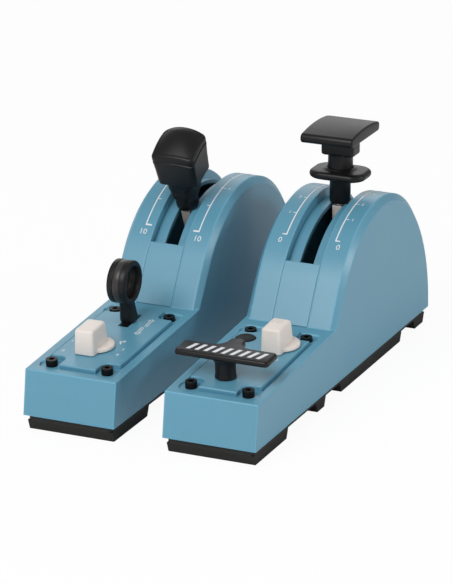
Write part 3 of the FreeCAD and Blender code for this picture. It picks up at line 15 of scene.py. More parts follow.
import bpy
import numpy as np
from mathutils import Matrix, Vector

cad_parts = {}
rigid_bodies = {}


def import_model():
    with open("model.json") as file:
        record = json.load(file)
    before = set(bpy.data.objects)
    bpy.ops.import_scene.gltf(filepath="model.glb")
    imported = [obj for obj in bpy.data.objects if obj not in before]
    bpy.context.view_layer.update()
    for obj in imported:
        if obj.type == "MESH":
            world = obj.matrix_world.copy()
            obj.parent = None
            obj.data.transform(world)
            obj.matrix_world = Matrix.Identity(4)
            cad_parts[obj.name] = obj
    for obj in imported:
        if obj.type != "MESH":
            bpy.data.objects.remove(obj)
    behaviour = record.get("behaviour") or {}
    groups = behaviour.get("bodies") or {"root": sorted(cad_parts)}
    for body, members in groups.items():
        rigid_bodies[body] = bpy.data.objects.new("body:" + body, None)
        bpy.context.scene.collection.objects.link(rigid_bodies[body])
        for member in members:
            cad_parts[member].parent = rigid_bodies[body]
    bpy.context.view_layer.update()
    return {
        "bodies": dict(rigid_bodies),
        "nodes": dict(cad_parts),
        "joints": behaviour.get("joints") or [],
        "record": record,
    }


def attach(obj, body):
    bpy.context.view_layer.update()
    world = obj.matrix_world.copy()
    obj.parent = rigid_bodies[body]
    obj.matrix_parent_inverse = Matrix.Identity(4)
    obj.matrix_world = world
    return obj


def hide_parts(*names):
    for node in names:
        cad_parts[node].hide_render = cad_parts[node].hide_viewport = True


log = logging.getLogger("throttle_quadrant")

MM = 0.001
QUARTER = math.pi / 2
INK_FOOT = -0.03  # ink starts this far below the surface it lies on
DIGIT = 2.6  # height of the plates' numbers


# ---------------------------------------------------------------- frames


class Side(Enum):
    """The two modules, by the sign of their place across the pair."""

    LEFT = -1
    RIGHT = 1


@dataclass(frozen=True)
class Frame:
    """Local frame: an origin in row millimetres and a lean towards the user about the x axis."""

    origin: tuple[float, float, float]
    lean: float = 0.0

    def place(self, points: np.ndarray) -> np.ndarray:
        """Turns local millimetres into row metres: turn about x by the lean, then shift to the origin.

        Args:
            points: array (..., 3) of local millimetres.

        Returns:
            Array of the same shape in metres.
        """
        turn = math.radians(self.lean)
        c, s = math.cos(turn), math.sin(turn)
        matrix = np.array([[1, 0, 0], [0, c, -s], [0, s, c]])
        return (points @ matrix.T + np.array(self.origin)) * MM


@dataclass(frozen=True)
class Layout:
    """Where the modules, their sloped decks and their levers stand in the row frame."""

    module_x: float = 42.85
    front_y: float = -131.95
    deck_height: float = 35.2
    deck_slope: float = 3.66
    axle_y: float = 188.0
    axle_z: float = 27.0
    arc_radius: float = 73.0
    gear_pin: tuple[float, float, float] = (-1.0, 84.3, 8.0)

    def module(self, side: Side) -> Frame:
        """Frame on the centre line of a module, at the foot of its front face."""
        return Frame((side.value * self.module_x, self.front_y, 0.0))

    def deck(self, side: Side) -> Frame:
        """Frame on the sloped deck of a module, z = 0 on the deck."""
        return Frame((side.value * self.module_x, self.front_y, self.deck_height), self.deck_slope)

    def lever(self, side: Side, lean: float) -> Frame:
        """Frame on the lever axle, z along the lever, leaning towards the user."""
        return Frame((side.value * self.module_x, self.front_y + self.axle_y, self.axle_z), lean)

    def gear(self, lean: float) -> Frame:
        """Frame on the pin of the gear lever, z along its stem."""
        x, y, drop = self.gear_pin
        height = self.deck_height + y * math.tan(math.radians(self.deck_slope)) - drop
        return Frame((x - self.module_x, self.front_y + y, height), lean)


LAYOUT = Layout()


# ---------------------------------------------------------------- surfaces


@dataclass
class Skin:
    """Points and faces of one closed or open surface, in local millimetres."""

    points: np.ndarray
    faces: list[tuple[int, ...]]

    def __add__(self, other: Skin) -> Skin:
        """Two skins in one mesh: the second one's indices follow the first one's."""
        shift = len(self.points)
        moved = [tuple(i + shift for i in face) for face in other.faces]
        return Skin(np.vstack([self.points, other.points]), self.faces + moved)

    def bent(self, rule: Callable[[np.ndarray], np.ndarray]) -> Skin:
        """The same faces over points that a rule moves as one array."""
        return Skin(rule(self.points), self.faces)

    def moved(self, x: float, y: float, z: float = 0.0) -> Skin:
        """The same surface, shifted."""
        return self.bent(lambda points: points + np.array([x, y, z]))


def corner_ring(half_x: np.ndarray, half_y: np.ndarray, corner: np.ndarray, steps: int = 8,
                between: int = 3) -> np.ndarray:
    """Rings with rounded corners, as whole arrays.

    Formula: in each quadrant the point is the corner's centre (half - corner) plus corner times
    (cos t, sin t), with t over that quadrant; straight sides join the four arcs.

    Args:
        half_x: half widths across, one for each ring.
        half_y: half depths, one for each ring.
        corner: corner radii, one for each ring.
        steps: points on each corner.
        between: points on each straight side.

    Returns:
        Array (rings, 4 * (steps + between), 2).
    """
    half_x, half_y, corner = (np.atleast_1d(np.asarray(v, float))[:, None] for v in (half_x, half_y, corner))
    corner = np.minimum(corner, np.minimum(half_x, half_y))
    turn = (np.linspace(0, QUARTER, steps)[None, :] + QUARTER * np.arange(4)[:, None]).ravel()[None, :]
    sign_x = np.repeat([1, -1, -1, 1], steps)[None, :]
    sign_y = np.repeat([1, 1, -1, -1], steps)[None, :]
    x = sign_x * (half_x - corner) + corner * np.cos(turn)
    y = sign_y * (half_y - corner) + corner * np.sin(turn)
    arcs = np.stack([x, y], axis=-1).reshape(len(x), 4, steps, 2)
    share = np.linspace(0, 1, between + 2)[1:-1, None]
    straight = arcs[:, :, -1:] * (1 - share) + np.roll(arcs, -1, axis=1)[:, :, :1] * share
    return np.concatenate([arcs, straight], axis=2).reshape(len(x), -1, 2)


def stack(rings: np.ndarray, z: np.ndarray, middle: np.ndarray | float = 0.0) -> np.ndarray:
    """Flat rings lifted to heights: (rings, points, 2) and z give (rings, points, 3), shifted along y."""
    z = np.broadcast_to(np.asarray(z, float)[:, None], rings.shape[:2])
    shift = np.broadcast_to(np.atleast_1d(np.asarray(middle, float))[:, None], rings.shape[:2])
    return np.stack([rings[..., 0], rings[..., 1] + shift, z], axis=-1)


def skin(rings: np.ndarray, low: bool = True, high: bool = True) -> Skin:
    """Closed skin over rings that all hold the same number of points, counter-clockwise from above.

    Formula: point j of ring i joins point j + 1 and the same two points of ring i + 1; each end is
    closed with one flat face.

    Args:
        rings: array (rings, points, 3), from the lowest ring up.
        low: whether the first ring is closed.
        high: whether the last ring is closed.

    Returns:
        The skin with faces that point outwards.
    """
    count, size = rings.shape[:2]
    index = np.arange(count * size).reshape(count, size)
    right = np.roll(index, -1, axis=1)
    quads = np.stack([index[:-1], right[:-1], right[1:], index[1:]], axis=-1).reshape(-1, 4)
    faces = [tuple(q) for q in quads.tolist()]
    if low:
        faces.append(tuple(index[0, ::-1].tolist()))
    if high:
        faces.append(tuple(index[-1].tolist()))
    return Skin(rings.reshape(-1, 3), faces)


def edge_round(radius: float, steps: int = 5) -> tuple[np.ndarray, np.ndarray]:
    """Quarter-circle rounding: inset r (1 - cos t) against rise r sin t, for t from 0 to a right angle."""
    turn = np.linspace(0, QUARTER, steps)
    return radius * (1 - np.cos(turn)), radius * np.sin(turn)


def lathe(profile: list[tuple[float, float]], steps: int = 64) -> Skin:
    """Turned surface: each (radius, height) of the profile becomes one circle about z, from the lowest up."""
    line = np.array(profile, float)
    turn = np.linspace(0, 2 * math.pi, steps, endpoint=False)
    rings = np.stack([
        line[:, :1] * np.cos(turn), line[:, :1] * np.sin(turn), np.repeat(line[:, 1:], steps, axis=1),
    ], axis=-1)
    return skin(rings)


def soft_block(half_x: float, half_y: float, corner: float, low: float, high: float,
               rounds: tuple[float, float], draft: tuple[float, float] = (0.0, 0.0),
               middle: tuple[float, float] = (0.0, 0.0)) -> Skin:
    """Upright block with rounded corners and rolled lower and upper edges.

    Formula: half sizes shrink evenly from foot to top by the draft, and at each end by the inset of
    a quarter circle against its rise.

    Args:
        half_x: half width at the foot.
        half_y: half depth at the foot.
        corner: radius of the upright corners.
        low: height of the foot.
        high: height of the top.
        rounds: rounding radius at the foot and at the top.
        draft: how much half_x and half_y shrink up to the top.
        middle: y of the middle at the foot and at the top.

    Returns:
        The closed skin.
    """
    in_low, up_low = edge_round(rounds[0])
    in_high, up_high = edge_round(rounds[1])
    z = np.concatenate([low + rounds[0] - up_low[::-1], high - rounds[1] + up_high])
    inset = np.concatenate([in_low[::-1], in_high])
    share = (z - low) / (high - low)
    rings = corner_ring(half_x - draft[0] * share - inset, half_y - draft[1] * share - inset,
                        np.maximum(corner - inset * 0.5, 0.3))
    return skin(stack(rings, z, middle[0] + (middle[1] - middle[0]) * share))


# ---------------------------------------------------------------- shader maths


class Tree:
    """Node tree of one material, with one method for any node."""

    def __init__(self, name: str) -> None:
        """Opens a new material with its Principled shader."""
        self.material = bpy.data.materials.new(name)
        self.material.use_nodes = True
        self.nodes = self.material.node_tree.nodes
        self.links = self.material.node_tree.links
        self.shader = self.nodes["Principled BSDF"]

    def node(self, kind: str, settings: dict | None = None, **sockets: object) -> bpy.types.Node:
        """Adds a node.

        Args:
            kind: the node's type.
            settings: its own properties, set before its sockets.
            sockets: values or links, by socket name with underscores for spaces.

        Returns:
            The node.
        """
        made = self.nodes.new(kind)
        for key, value in (settings or {}).items():
            setattr(made, key, value)
        for key, value in sockets.items():
            self.feed(made.inputs[key.replace("_", " ")], value)
        return made

    def feed(self, socket: bpy.types.NodeSocket, value: object) -> None:
        """Sets a socket to a value, or links it."""
        if isinstance(value, Term):
            self.links.new(value.output, socket)
        elif isinstance(value, bpy.types.NodeSocket):
            self.links.new(value, socket)
        else:
            socket.default_value = value

    def finish(self, **sockets: object) -> bpy.types.Material:
        """Sets the shader's sockets by name and returns the material."""
        for key, value in sockets.items():
            self.feed(self.shader.inputs[key.replace("_", " ")], value)
        return self.material

    def noise(self, size_mm: float, detail: float = 2.0,
              stretch: tuple[float, float, float] = (1, 1, 1)) -> Term:
        """Smooth noise on object coordinates, with features of a size, stretched along the axes."""
        place = self.nodes.new("ShaderNodeTexCoord")
        turn = self.node("ShaderNodeMapping", Vector=place.outputs["Object"], Scale=stretch)
        made = self.node("ShaderNodeTexNoise", Vector=turn.outputs["Vector"], Scale=1 / (size_mm * MM),
                         Detail=detail)
        return Term(self, made.outputs["Fac"])

    def blend(self, mask: Term, first: tuple[float, ...], second: tuple[float, ...]) -> bpy.types.NodeSocket:
        """Colour between two colours by a mask."""
        made = self.node("ShaderNodeMix", {"data_type": "RGBA", "clamp_factor": True})
        self.feed(made.inputs[0], mask)
        made.inputs[6].default_value = (*first, 1)
        made.inputs[7].default_value = (*second, 1)
        return made.outputs[2]

    def soft_edges(self, radius_mm: float) -> bpy.types.NodeSocket:
        """Normal that rolls over sharp edges."""
        return self.node("ShaderNodeBevel", {"samples": 6}, Radius=radius_mm * MM).outputs["Normal"]

    def edge_mask(self, normal: bpy.types.NodeSocket) -> Term:
        """One along sharp edges and zero on flats: 1 minus the rolled normal's share of the true one; it
        places the painted edge highlight.
        """
        true = self.nodes.new("ShaderNodeNewGeometry").outputs["Normal"]
        dot = self.node("ShaderNodeVectorMath", {"operation": "DOT_PRODUCT"})
        self.feed(dot.inputs[0], normal)
        self.feed(dot.inputs[1], true)
        return ((1 - Term(self, dot.outputs["Value"])) * 6).clamped()

    def bump(self, height: Term, depth_mm: float,
             normal: bpy.types.NodeSocket | None = None) -> bpy.types.NodeSocket:
        """Normal shaken by a height."""
        made = self.node("ShaderNodeBump", Strength=1.0, Distance=depth_mm * MM, Height=height)
        if normal is not None:
            self.feed(made.inputs["Normal"], normal)
        return made.outputs["Normal"]


@dataclass(frozen=True)
class Term:
    """A socket's value in sums: each operator adds its Math node."""

    tree: Tree
    output: bpy.types.NodeSocket

    def _math(self, operation: str, *values: object) -> Term:
        """Adds a Math node over this tree."""
        made = self.tree.node("ShaderNodeMath", {"operation": operation})
        for socket, value in zip(made.inputs, values):
            self.tree.feed(socket, value)
        return Term(self.tree, made.outputs["Value"])

    def __add__(self, other: object) -> Term:
        """self + other."""
        return self._math("ADD", self, other)

    __radd__ = __add__

    def __sub__(self, other: object) -> Term:
        """self - other."""
        return self._math("SUBTRACT", self, other)

    def __rsub__(self, other: object) -> Term:
        """other - self."""
        return self._math("SUBTRACT", other, self)

    def __mul__(self, other: object) -> Term:
        """self * other."""
        return self._math("MULTIPLY", self, other)

    __rmul__ = __mul__

    def clamped(self) -> Term:
        """Kept between 0 and 1."""
        return self._math("MINIMUM", self._math("MAXIMUM", self, 0.0), 1.0)


# ---------------------------------------------------------------- finishes


def shade(colour: tuple[float, ...], factor: float, lift: float = 0.0) -> tuple[float, ...]:
    """A colour times a factor plus a lift, no channel over 1."""
    return tuple(min(1.0, c * factor + lift) for c in colour)


@dataclass(frozen=True)
class MouldedPlastic:
    """Moulded or satin-coated surface: fine spark texture, slow mottling and a painted highlight that
    lightens the rolled edges.
    """

    name: str
    colour: tuple[float, float, float]
    roughness: float = 0.45
    grain_mm: float = 0.35
    grain_depth: float = 0.012
    mottle: float = 0.05
    edge_mm: float = 0.5
    edge_highlight_lift: float = 1.25
    gloss: float = 0.35

    def build(self) -> bpy.types.Material:
        """Makes the material."""
        tree = Tree(self.name)
        rolled = tree.soft_edges(self.edge_mm)
        slow = tree.noise(38.0, 3.0)
        fine = tree.noise(self.grain_mm, 2.0)
        body = tree.blend(slow, shade(self.colour, 1 - self.mottle), shade(self.colour, 1 + self.mottle))
        # Painted highlight: the colour is lightened along rolled edges, where light would catch them.
        edge_highlight = tree.node("ShaderNodeMix", {"data_type": "RGBA"})
        tree.feed(edge_highlight.inputs[0], tree.edge_mask(rolled) * 0.6)
        tree.feed(edge_highlight.inputs[6], body)
        edge_highlight.inputs[7].default_value = (*shade(self.colour, self.edge_highlight_lift, 0.004), 1)
        rough = (slow - 0.5) * 0.12 + (fine - 0.5) * 0.16 + self.roughness
        return tree.finish(Base_Color=edge_highlight.outputs[2], Roughness=rough.clamped(),
                           Specular_IOR_Level=self.gloss, Normal=tree.bump(fine, self.grain_depth, rolled))


@dataclass(frozen=True)
class BrushedMetal:
    """Metal with fine scratches along one axis and slow stains."""

    name: str
    colour: tuple[float, float, float]
    roughness: float = 0.3
    stretch: tuple[float, float, float] = (1.0, 1.0, 0.06)
    scratch_mm: float = 0.12
    edge_mm: float = 0.3
    metal: float = 1.0

    def build(self) -> bpy.types.Material:
        """Makes the material."""
        tree = Tree(self.name)
        scratch = tree.noise(self.scratch_mm, 2.0, self.stretch)
        stain = tree.noise(9.0, 3.0)
        body = tree.blend(stain * 0.5 + scratch * 0.5, shade(self.colour, 0.84), shade(self.colour, 1.14))
        rough = scratch * 0.16 + stain * 0.08 + (self.roughness - 0.1)
        return tree.finish(Base_Color=body, Metallic=self.metal, Roughness=rough.clamped(),
                           Normal=tree.bump(scratch, 0.006, tree.soft_edges(self.edge_mm)))


@dataclass(frozen=True)
class FeltPad:
    """Pressed felt: matt, with short tangled fibres."""

    name: str
    colour: tuple[float, float, float]

    def build(self) -> bpy.types.Material:
        """Makes the material."""
        tree = Tree(self.name)
        fibre = tree.noise(0.4, 6.0, (1.0, 1.0, 2.5))
        body = tree.blend(fibre, shade(self.colour, 0.6), shade(self.colour, 1.5))
        return tree.finish(Base_Color=body, Roughness=0.95, Sheen_Weight=0.3, Normal=tree.bump(fibre, 0.2))


@dataclass(frozen=True)
class ScreenInk:
    """Screen-printed ink: even, slightly uneven at the scale of the mesh."""

    name: str
    colour: tuple[float, float, float]

    def build(self) -> bpy.types.Material:
        """Makes the material."""
        tree = Tree(self.name)
        mesh = tree.noise(0.3, 1.0)
        body = tree.blend(mesh, shade(self.colour, 0.93), self.colour)
        return tree.finish(Base_Color=body, Roughness=mesh * 0.15 + 0.4)


BLUE = (0.114, 0.322, 0.446)

FINISHES = {
    "blue_shell": MouldedPlastic("Blue_shell", BLUE, 0.34, 0.5, 0.010, 0.035, 1.5, 2.1, 0.5),
    "blue_strip": MouldedPlastic("Blue_strip", BLUE, 0.34, 0.5, 0.010, 0.035, 0.3, 1.3, 0.5),
    "blue_plate": MouldedPlastic("Blue_plate", BLUE, 0.34, 0.5, 0.010, 0.035, 0.5, 2.1, 0.5),
    "charcoal_base": MouldedPlastic("Charcoal_base", (0.018, 0.017, 0.016), 0.62, 0.8, 0.05, 0.12, 0.5, 1.6),
    "foot_rubber": MouldedPlastic("Foot_rubber", (0.015, 0.014, 0.013), 0.72, 0.6, 0.05, 0.15, 0.6, 1.6),
    "grip_black": MouldedPlastic("Grip_black", (0.0065, 0.0062, 0.0068),
                                 0.38, 0.6, 0.012, 0.10, 0.4, 1.7, 0.3),
    "black_plastic": MouldedPlastic("Black_plastic", (0.0085, 0.0083, 0.0088),
                                    0.42, 0.6, 0.015, 0.10, 0.4, 1.7, 0.3),
    "knob_ivory": MouldedPlastic("Knob_ivory", (0.83, 0.755, 0.70), 0.38, 0.5, 0.008, 0.02, 0.4, 1.05),
    "blade_steel": BrushedMetal("Blade_steel", (0.74, 0.68, 0.65), 0.5, metal=0.5),
    "steel": BrushedMetal("Turned_steel", (0.56, 0.56, 0.57), 0.28, (0.08, 1.0, 1.0)),
    "screw_black": BrushedMetal("Black_oxide", (0.030, 0.028, 0.028), 0.42, (1.0, 1.0, 0.4), 0.3, 0.35),
    "bronze": BrushedMetal("Sintered_bronze", (0.50, 0.32, 0.14), 0.45, (1.0, 1.0, 1.0), 0.25),
    "felt": FeltPad("Felt", (0.12, 0.12, 0.11)),
    "hub_nylon": MouldedPlastic("Hub_nylon", (0.62, 0.60, 0.55), 0.5, 0.5, 0.015, 0.04, 0.4, 1.1),
    "board_green": MouldedPlastic("Board_green", (0.02, 0.13, 0.05), 0.35, 1.2, 0.02, 0.10, 0.2, 1.2),
    "ink": ScreenInk("White_ink", (0.80, 0.82, 0.84)),
    # Paler black for the tyre band: a painted highlight on the tread.
    "tyre_tread_highlight": MouldedPlastic("Tyre_tread_highlight", (0.040, 0.037, 0.037), 0.34, 0.6, 0.012, 0.08, 0.2, 1.3),
}


@dataclass
class Workshop:
    """Makes Blender objects out of skins and keeps the finishes."""

    finishes: dict[str, bpy.types.Material] = field(default_factory=dict)

    def finish(self, name: str) -> bpy.types.Material:
        """Material of a finish, made at its first use."""
        if name not in self.finishes:
            self.finishes[name] = FINISHES[name].build()
        return self.finishes[name]

    def piece(self, name: str, surface: Skin, frame: Frame, finish: str, body: str,
              replaces: tuple[str, ...] = (),
              smooth: float = 38.0) -> bpy.types.Object:
        """One finished object at the origin, riding on its body.

        Args:
            name: the object's name.
            surface: skin in local millimetres.
            frame: local frame of the skin.
            finish: key of its finish.
            body: the moving body it belongs to.
            replaces: CAD nodes that it stands for.
            smooth: angle in degrees over which an edge stays sharp.

        Returns:
            The object.
        """
        mesh = bpy.data.meshes.new(name)
        mesh.from_pydata(frame.place(surface.points).tolist(), [], surface.faces)
        mesh.validate()
        mesh.update()
        mesh.shade_smooth()
        mesh.set_sharp_from_angle(angle=math.radians(smooth))
        mesh.materials.append(self.finish(finish))
        made = bpy.data.objects.new(name, mesh)
        bpy.context.scene.collection.objects.link(made)
        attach(made, body)
        if replaces:
            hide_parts(*replaces)
        log.info("%s: %d points on body %s", name, len(surface.points), body)
        return made

    def dress(self, frame: dict) -> None:
        """Gives every CAD node the finish of its material slot."""
        slots = {entry["node"]: entry["material_slot"] for entry in frame["record"]["subparts"]}
        for name, node in frame["nodes"].items():
            node.data.materials.clear()
            node.data.materials.append(self.finish(slots[name]))
            log.info("%s dressed as %s", name, slots[name])


# ---------------------------------------------------------------- grips


@dataclass
class SpeedHead:
    """Block-shaped head of the speed lever with a two-way dome, a parting groove and a funnel neck."""

    lean: float = 23.0
    half: float = 13.4
    front: float = -9.0
    back: float = 14.8
    low: float = 87.5
    top: float = 116.0
    crown: float = 6.0
    crest: float = 9.0
    fall: float = 6.8
    roll: float = 2.2
    foot_roll: float = 1.3
    taper: float = 0.925
    corner: float = 2.8

    def dome(self, x: np.ndarray, y: np.ndarray) -> np.ndarray:
        """Height of the domed top: a crown across that fades to the front, and falls to front and rear."""
        ahead = np.clip((self.crest - y) / (self.crest - self.front), 0, None)
        behind = np.clip((y - self.crest) / (self.back - self.crest), 0, None)
        crown = self.crown * (np.abs(x) / self.half) ** 2.2 * (1 - 0.8 * ahead)
        return self.top - crown - self.fall * ahead ** 1.7 - 1.5 * behind ** 2

    def head(self) -> Skin:
        """Head: rings grow evenly upwards, dip at the parting groove, roll over and shrink over the dome.

        Every ring's height is a share of the way up to the dome's own height above that point of the rim.
        """
        in_low, up_low = edge_round(self.foot_roll)
        in_top, up_top = edge_round(self.roll, 8)
        depth = (self.back - self.front) / 2
        middle = (self.back + self.front) / 2
        rim = corner_ring(self.half - self.roll, depth - self.roll, self.corner - self.roll * 0.5, 10, 12)[0]
        height = self.dome(rim[:, 0], rim[:, 1] + middle)
        below = np.array([3.4, 3.0, 2.0, 1.6])
        share = np.concatenate([(self.foot_roll - up_low[::-1]) / 20.0, [0.5], np.ones(4 + len(up_top))])
        drop = np.concatenate([np.zeros(len(up_low) + 1), below + self.roll, self.roll - up_top])
        inset = np.concatenate([in_low[::-1], [0.0], [0.0, 0.5, 0.5, 0.0], in_top])
        scale = self.taper + (1 - self.taper) * share
        sides = corner_ring(self.half * scale - inset, depth * scale - inset, self.corner - inset * 0.5,
                            10, 12)
        z = self.low + (height[None, :] - self.low) * share[:, None] - drop[:, None]
        flat = sides + np.array([0, 1]) * (middle * scale)[:, None, None]
        wall = np.concatenate([flat, z[..., None]], axis=-1)
        shrink = np.cos(np.linspace(0, QUARTER, 16))[1:-1, None, None]
        cap = (flat[-1][None] - np.array([0, middle])) * shrink + np.array([0, middle])
        top = self.dome(cap[..., 0], cap[..., 1])[..., None]
        return skin(np.concatenate([wall, np.concatenate([cap, top], axis=-1)]))

    def neck(self) -> Skin:
        """Neck: a wide square foot under the head, a crease, a soft taper and a turned ring at its end."""
        z = np.array([67.7, 68.2, 69.0, 72.4, 73.1, 73.8, 75.4, 77.7, 80.0, 82.2, 82.5, 88.6])
        half = np.array([5.4, 6.4, 6.8, 6.8, 6.65, 6.6, 7.0, 7.6, 8.0, 8.25, 8.5, 8.6])
        corner = np.array([5.4, 6.4, 6.8, 6.8, 6.6, 6.2, 5.4, 4.6, 4.0, 3.6, 3.4, 3.2])
        middle = np.interp(z, [73.4, 82.5], [0.0, 2.2])
        return skin(stack(corner_ring(half, half, corner, 10), z, middle))

    def make(self, shop: Workshop) -> None:
        """Builds head and neck."""
        frame = LAYOUT.lever(Side.LEFT, self.lean)
        shop.piece("Speed_head", self.head(), frame, "grip_black", "speed_lever", ("speed_grip",))
        shop.piece("Speed_neck", self.neck(), frame, "grip_black", "speed_lever", ("speed_ferrule",))


@dataclass
class FlapPaddle:
    """Paddle of the flap lever: an arched plate rolled at every edge, a block and a flared neck."""

    half: float = 16.3
    front: float = -23.0
    back: float = 20.5
    low: float = 107.6
    radius: float = 115.0
    roll: float = 1.2
    collar_low: float = 82.9
    collar_high: float = 87.7
    collar_roll: float = 2.3
    collar_half: tuple[float, float] = (17.3, 12.4)

    def outline(self, inset: np.ndarray) -> np.ndarray:
        """Side outline for several insets: straight foot, rolled ends and an arc about the axle on top.

        Formula: each end is an ellipse quarter pair between the foot and the arc; the inset moves
        every side inwards.

        Args:
            inset: one inset for each outline.

        Returns:
            Array (insets, points, 2) of (y, z), running round with the inside on the left.
        """
        inset = np.asarray(inset, float)[:, None]
        foot, crest = self.low + inset, self.radius - inset
        front, back = self.front + inset, self.back - inset
        turn = np.linspace(0, QUARTER, 7)[None, :]
        rear_top = np.sqrt(crest ** 2 - back ** 2)
        low_r = np.maximum(2.2 - inset, 0.15)
        high_r = np.maximum(1.7 - inset, 0.15)
        brow_r = np.maximum(2.8 - inset, 0.15)
        parts = [
            (back - low_r * (1 - np.sin(turn)), foot + low_r * (1 - np.cos(turn))),
            (back - high_r * (1 - np.cos(turn)), rear_top - high_r * (1 - np.sin(turn))),
        ]
        share = np.linspace(0, 1, 17)[None, 1:-1]
        y = share[:, ::-1] * (back - high_r) + share * (front + brow_r)
        parts.append((y, np.sqrt(crest ** 2 - y ** 2)))
        brow_top = np.sqrt(crest ** 2 - (front + brow_r) ** 2)
        parts.append((front + brow_r * (1 - np.sin(turn)), brow_top - brow_r * (1 - np.cos(turn))))
        parts.append((front + low_r * (1 - np.cos(turn)), foot + low_r * (1 - np.sin(turn))))
        return np.stack([np.concatenate(axis, 1) for axis in zip(*parts)], -1)

    def paddle(self) -> Skin:
        """Paddle: the side outline carried across, shrinking at both ends by a quarter circle."""
        inset, rise = edge_round(self.roll, 7)
        x = np.concatenate([-self.half + self.roll - rise[::-1], self.half - self.roll + rise])
        flat = self.outline(np.concatenate([inset[::-1], inset]))
        rings = np.concatenate([np.broadcast_to(x[:, None, None], flat.shape[:2] + (1,)), flat], axis=-1)
        return skin(rings)

    def neck(self) -> Skin:
        """Block with rolled lower edges on a round neck that flares at its foot."""
        block = soft_block(10.2, 6.4, 2.2, 96.8, 108.6, (1.3, 0.3))
        neck = lathe([(6.0, 88.0), (7.3, 88.3), (7.4, 89.2), (7.3, 96.0), (7.6, 97.4)])
        return block + neck

    def collar(self) -> Skin:
        """Finger collar: an oval with a full roll all round and a soft shoulder up to the neck."""
        half_x, half_y = self.collar_half
        half_roll, rise = edge_round(self.collar_roll, 7)
        z = np.concatenate([self.collar_low + self.collar_roll - rise[::-1],
                            self.collar_high - self.collar_roll + rise])
        inset = np.concatenate([half_roll[::-1], half_roll])
        wall = stack(corner_ring(half_x - inset, half_y - inset, 8.6 - inset * 0.4, 14), z)
        share = np.array([0.12, 0.3, 0.5, 0.66, 0.8, 0.9, 1.0])
        lift = np.array([0.06, 0.12, 0.18, 0.36, 0.75, 1.15, 1.3])
        turn = np.arctan2(wall[-1, :, 1], wall[-1, :, 0])
        inner = np.stack([np.cos(turn), np.sin(turn)], -1) * 7.8
        flat = wall[-1, :, :2] * (1 - share[:, None, None]) + inner * share[:, None, None]
        height = np.broadcast_to((self.collar_high + lift)[:, None, None], flat.shape[:2] + (1,))
        well = np.concatenate([inner, np.full((len(inner), 1), self.collar_high - 3.3)], -1)[None]
        return skin(np.concatenate([wall, np.concatenate([flat, height], -1), well]))

    def sleeve(self) -> Skin:
        """Round sleeve under the collar with a rolled foot."""
        return lathe([(3.2, 67.7), (5.6, 67.7), (6.0, 68.0), (6.2, 68.6), (6.2, 81.6), (6.5, 82.4),
                      (7.2, 83.0), (7.2, 83.6)])

    def make(self, shop: Workshop) -> None:
        """Builds paddle, neck, collar and sleeve."""
        frame = LAYOUT.lever(Side.RIGHT, 0.0)
        shop.piece("Flap_paddle", self.paddle(), frame, "grip_black", "flap_lever", ("flap_grip",))
        shop.piece("Flap_neck", self.neck(), frame, "grip_black", "flap_lever")
        shop.piece("Flap_collar", self.collar(), frame, "grip_black", "flap_collar", ("flap_collar",))
        shop.piece("Flap_sleeve", self.sleeve(), frame, "grip_black", "flap_collar")


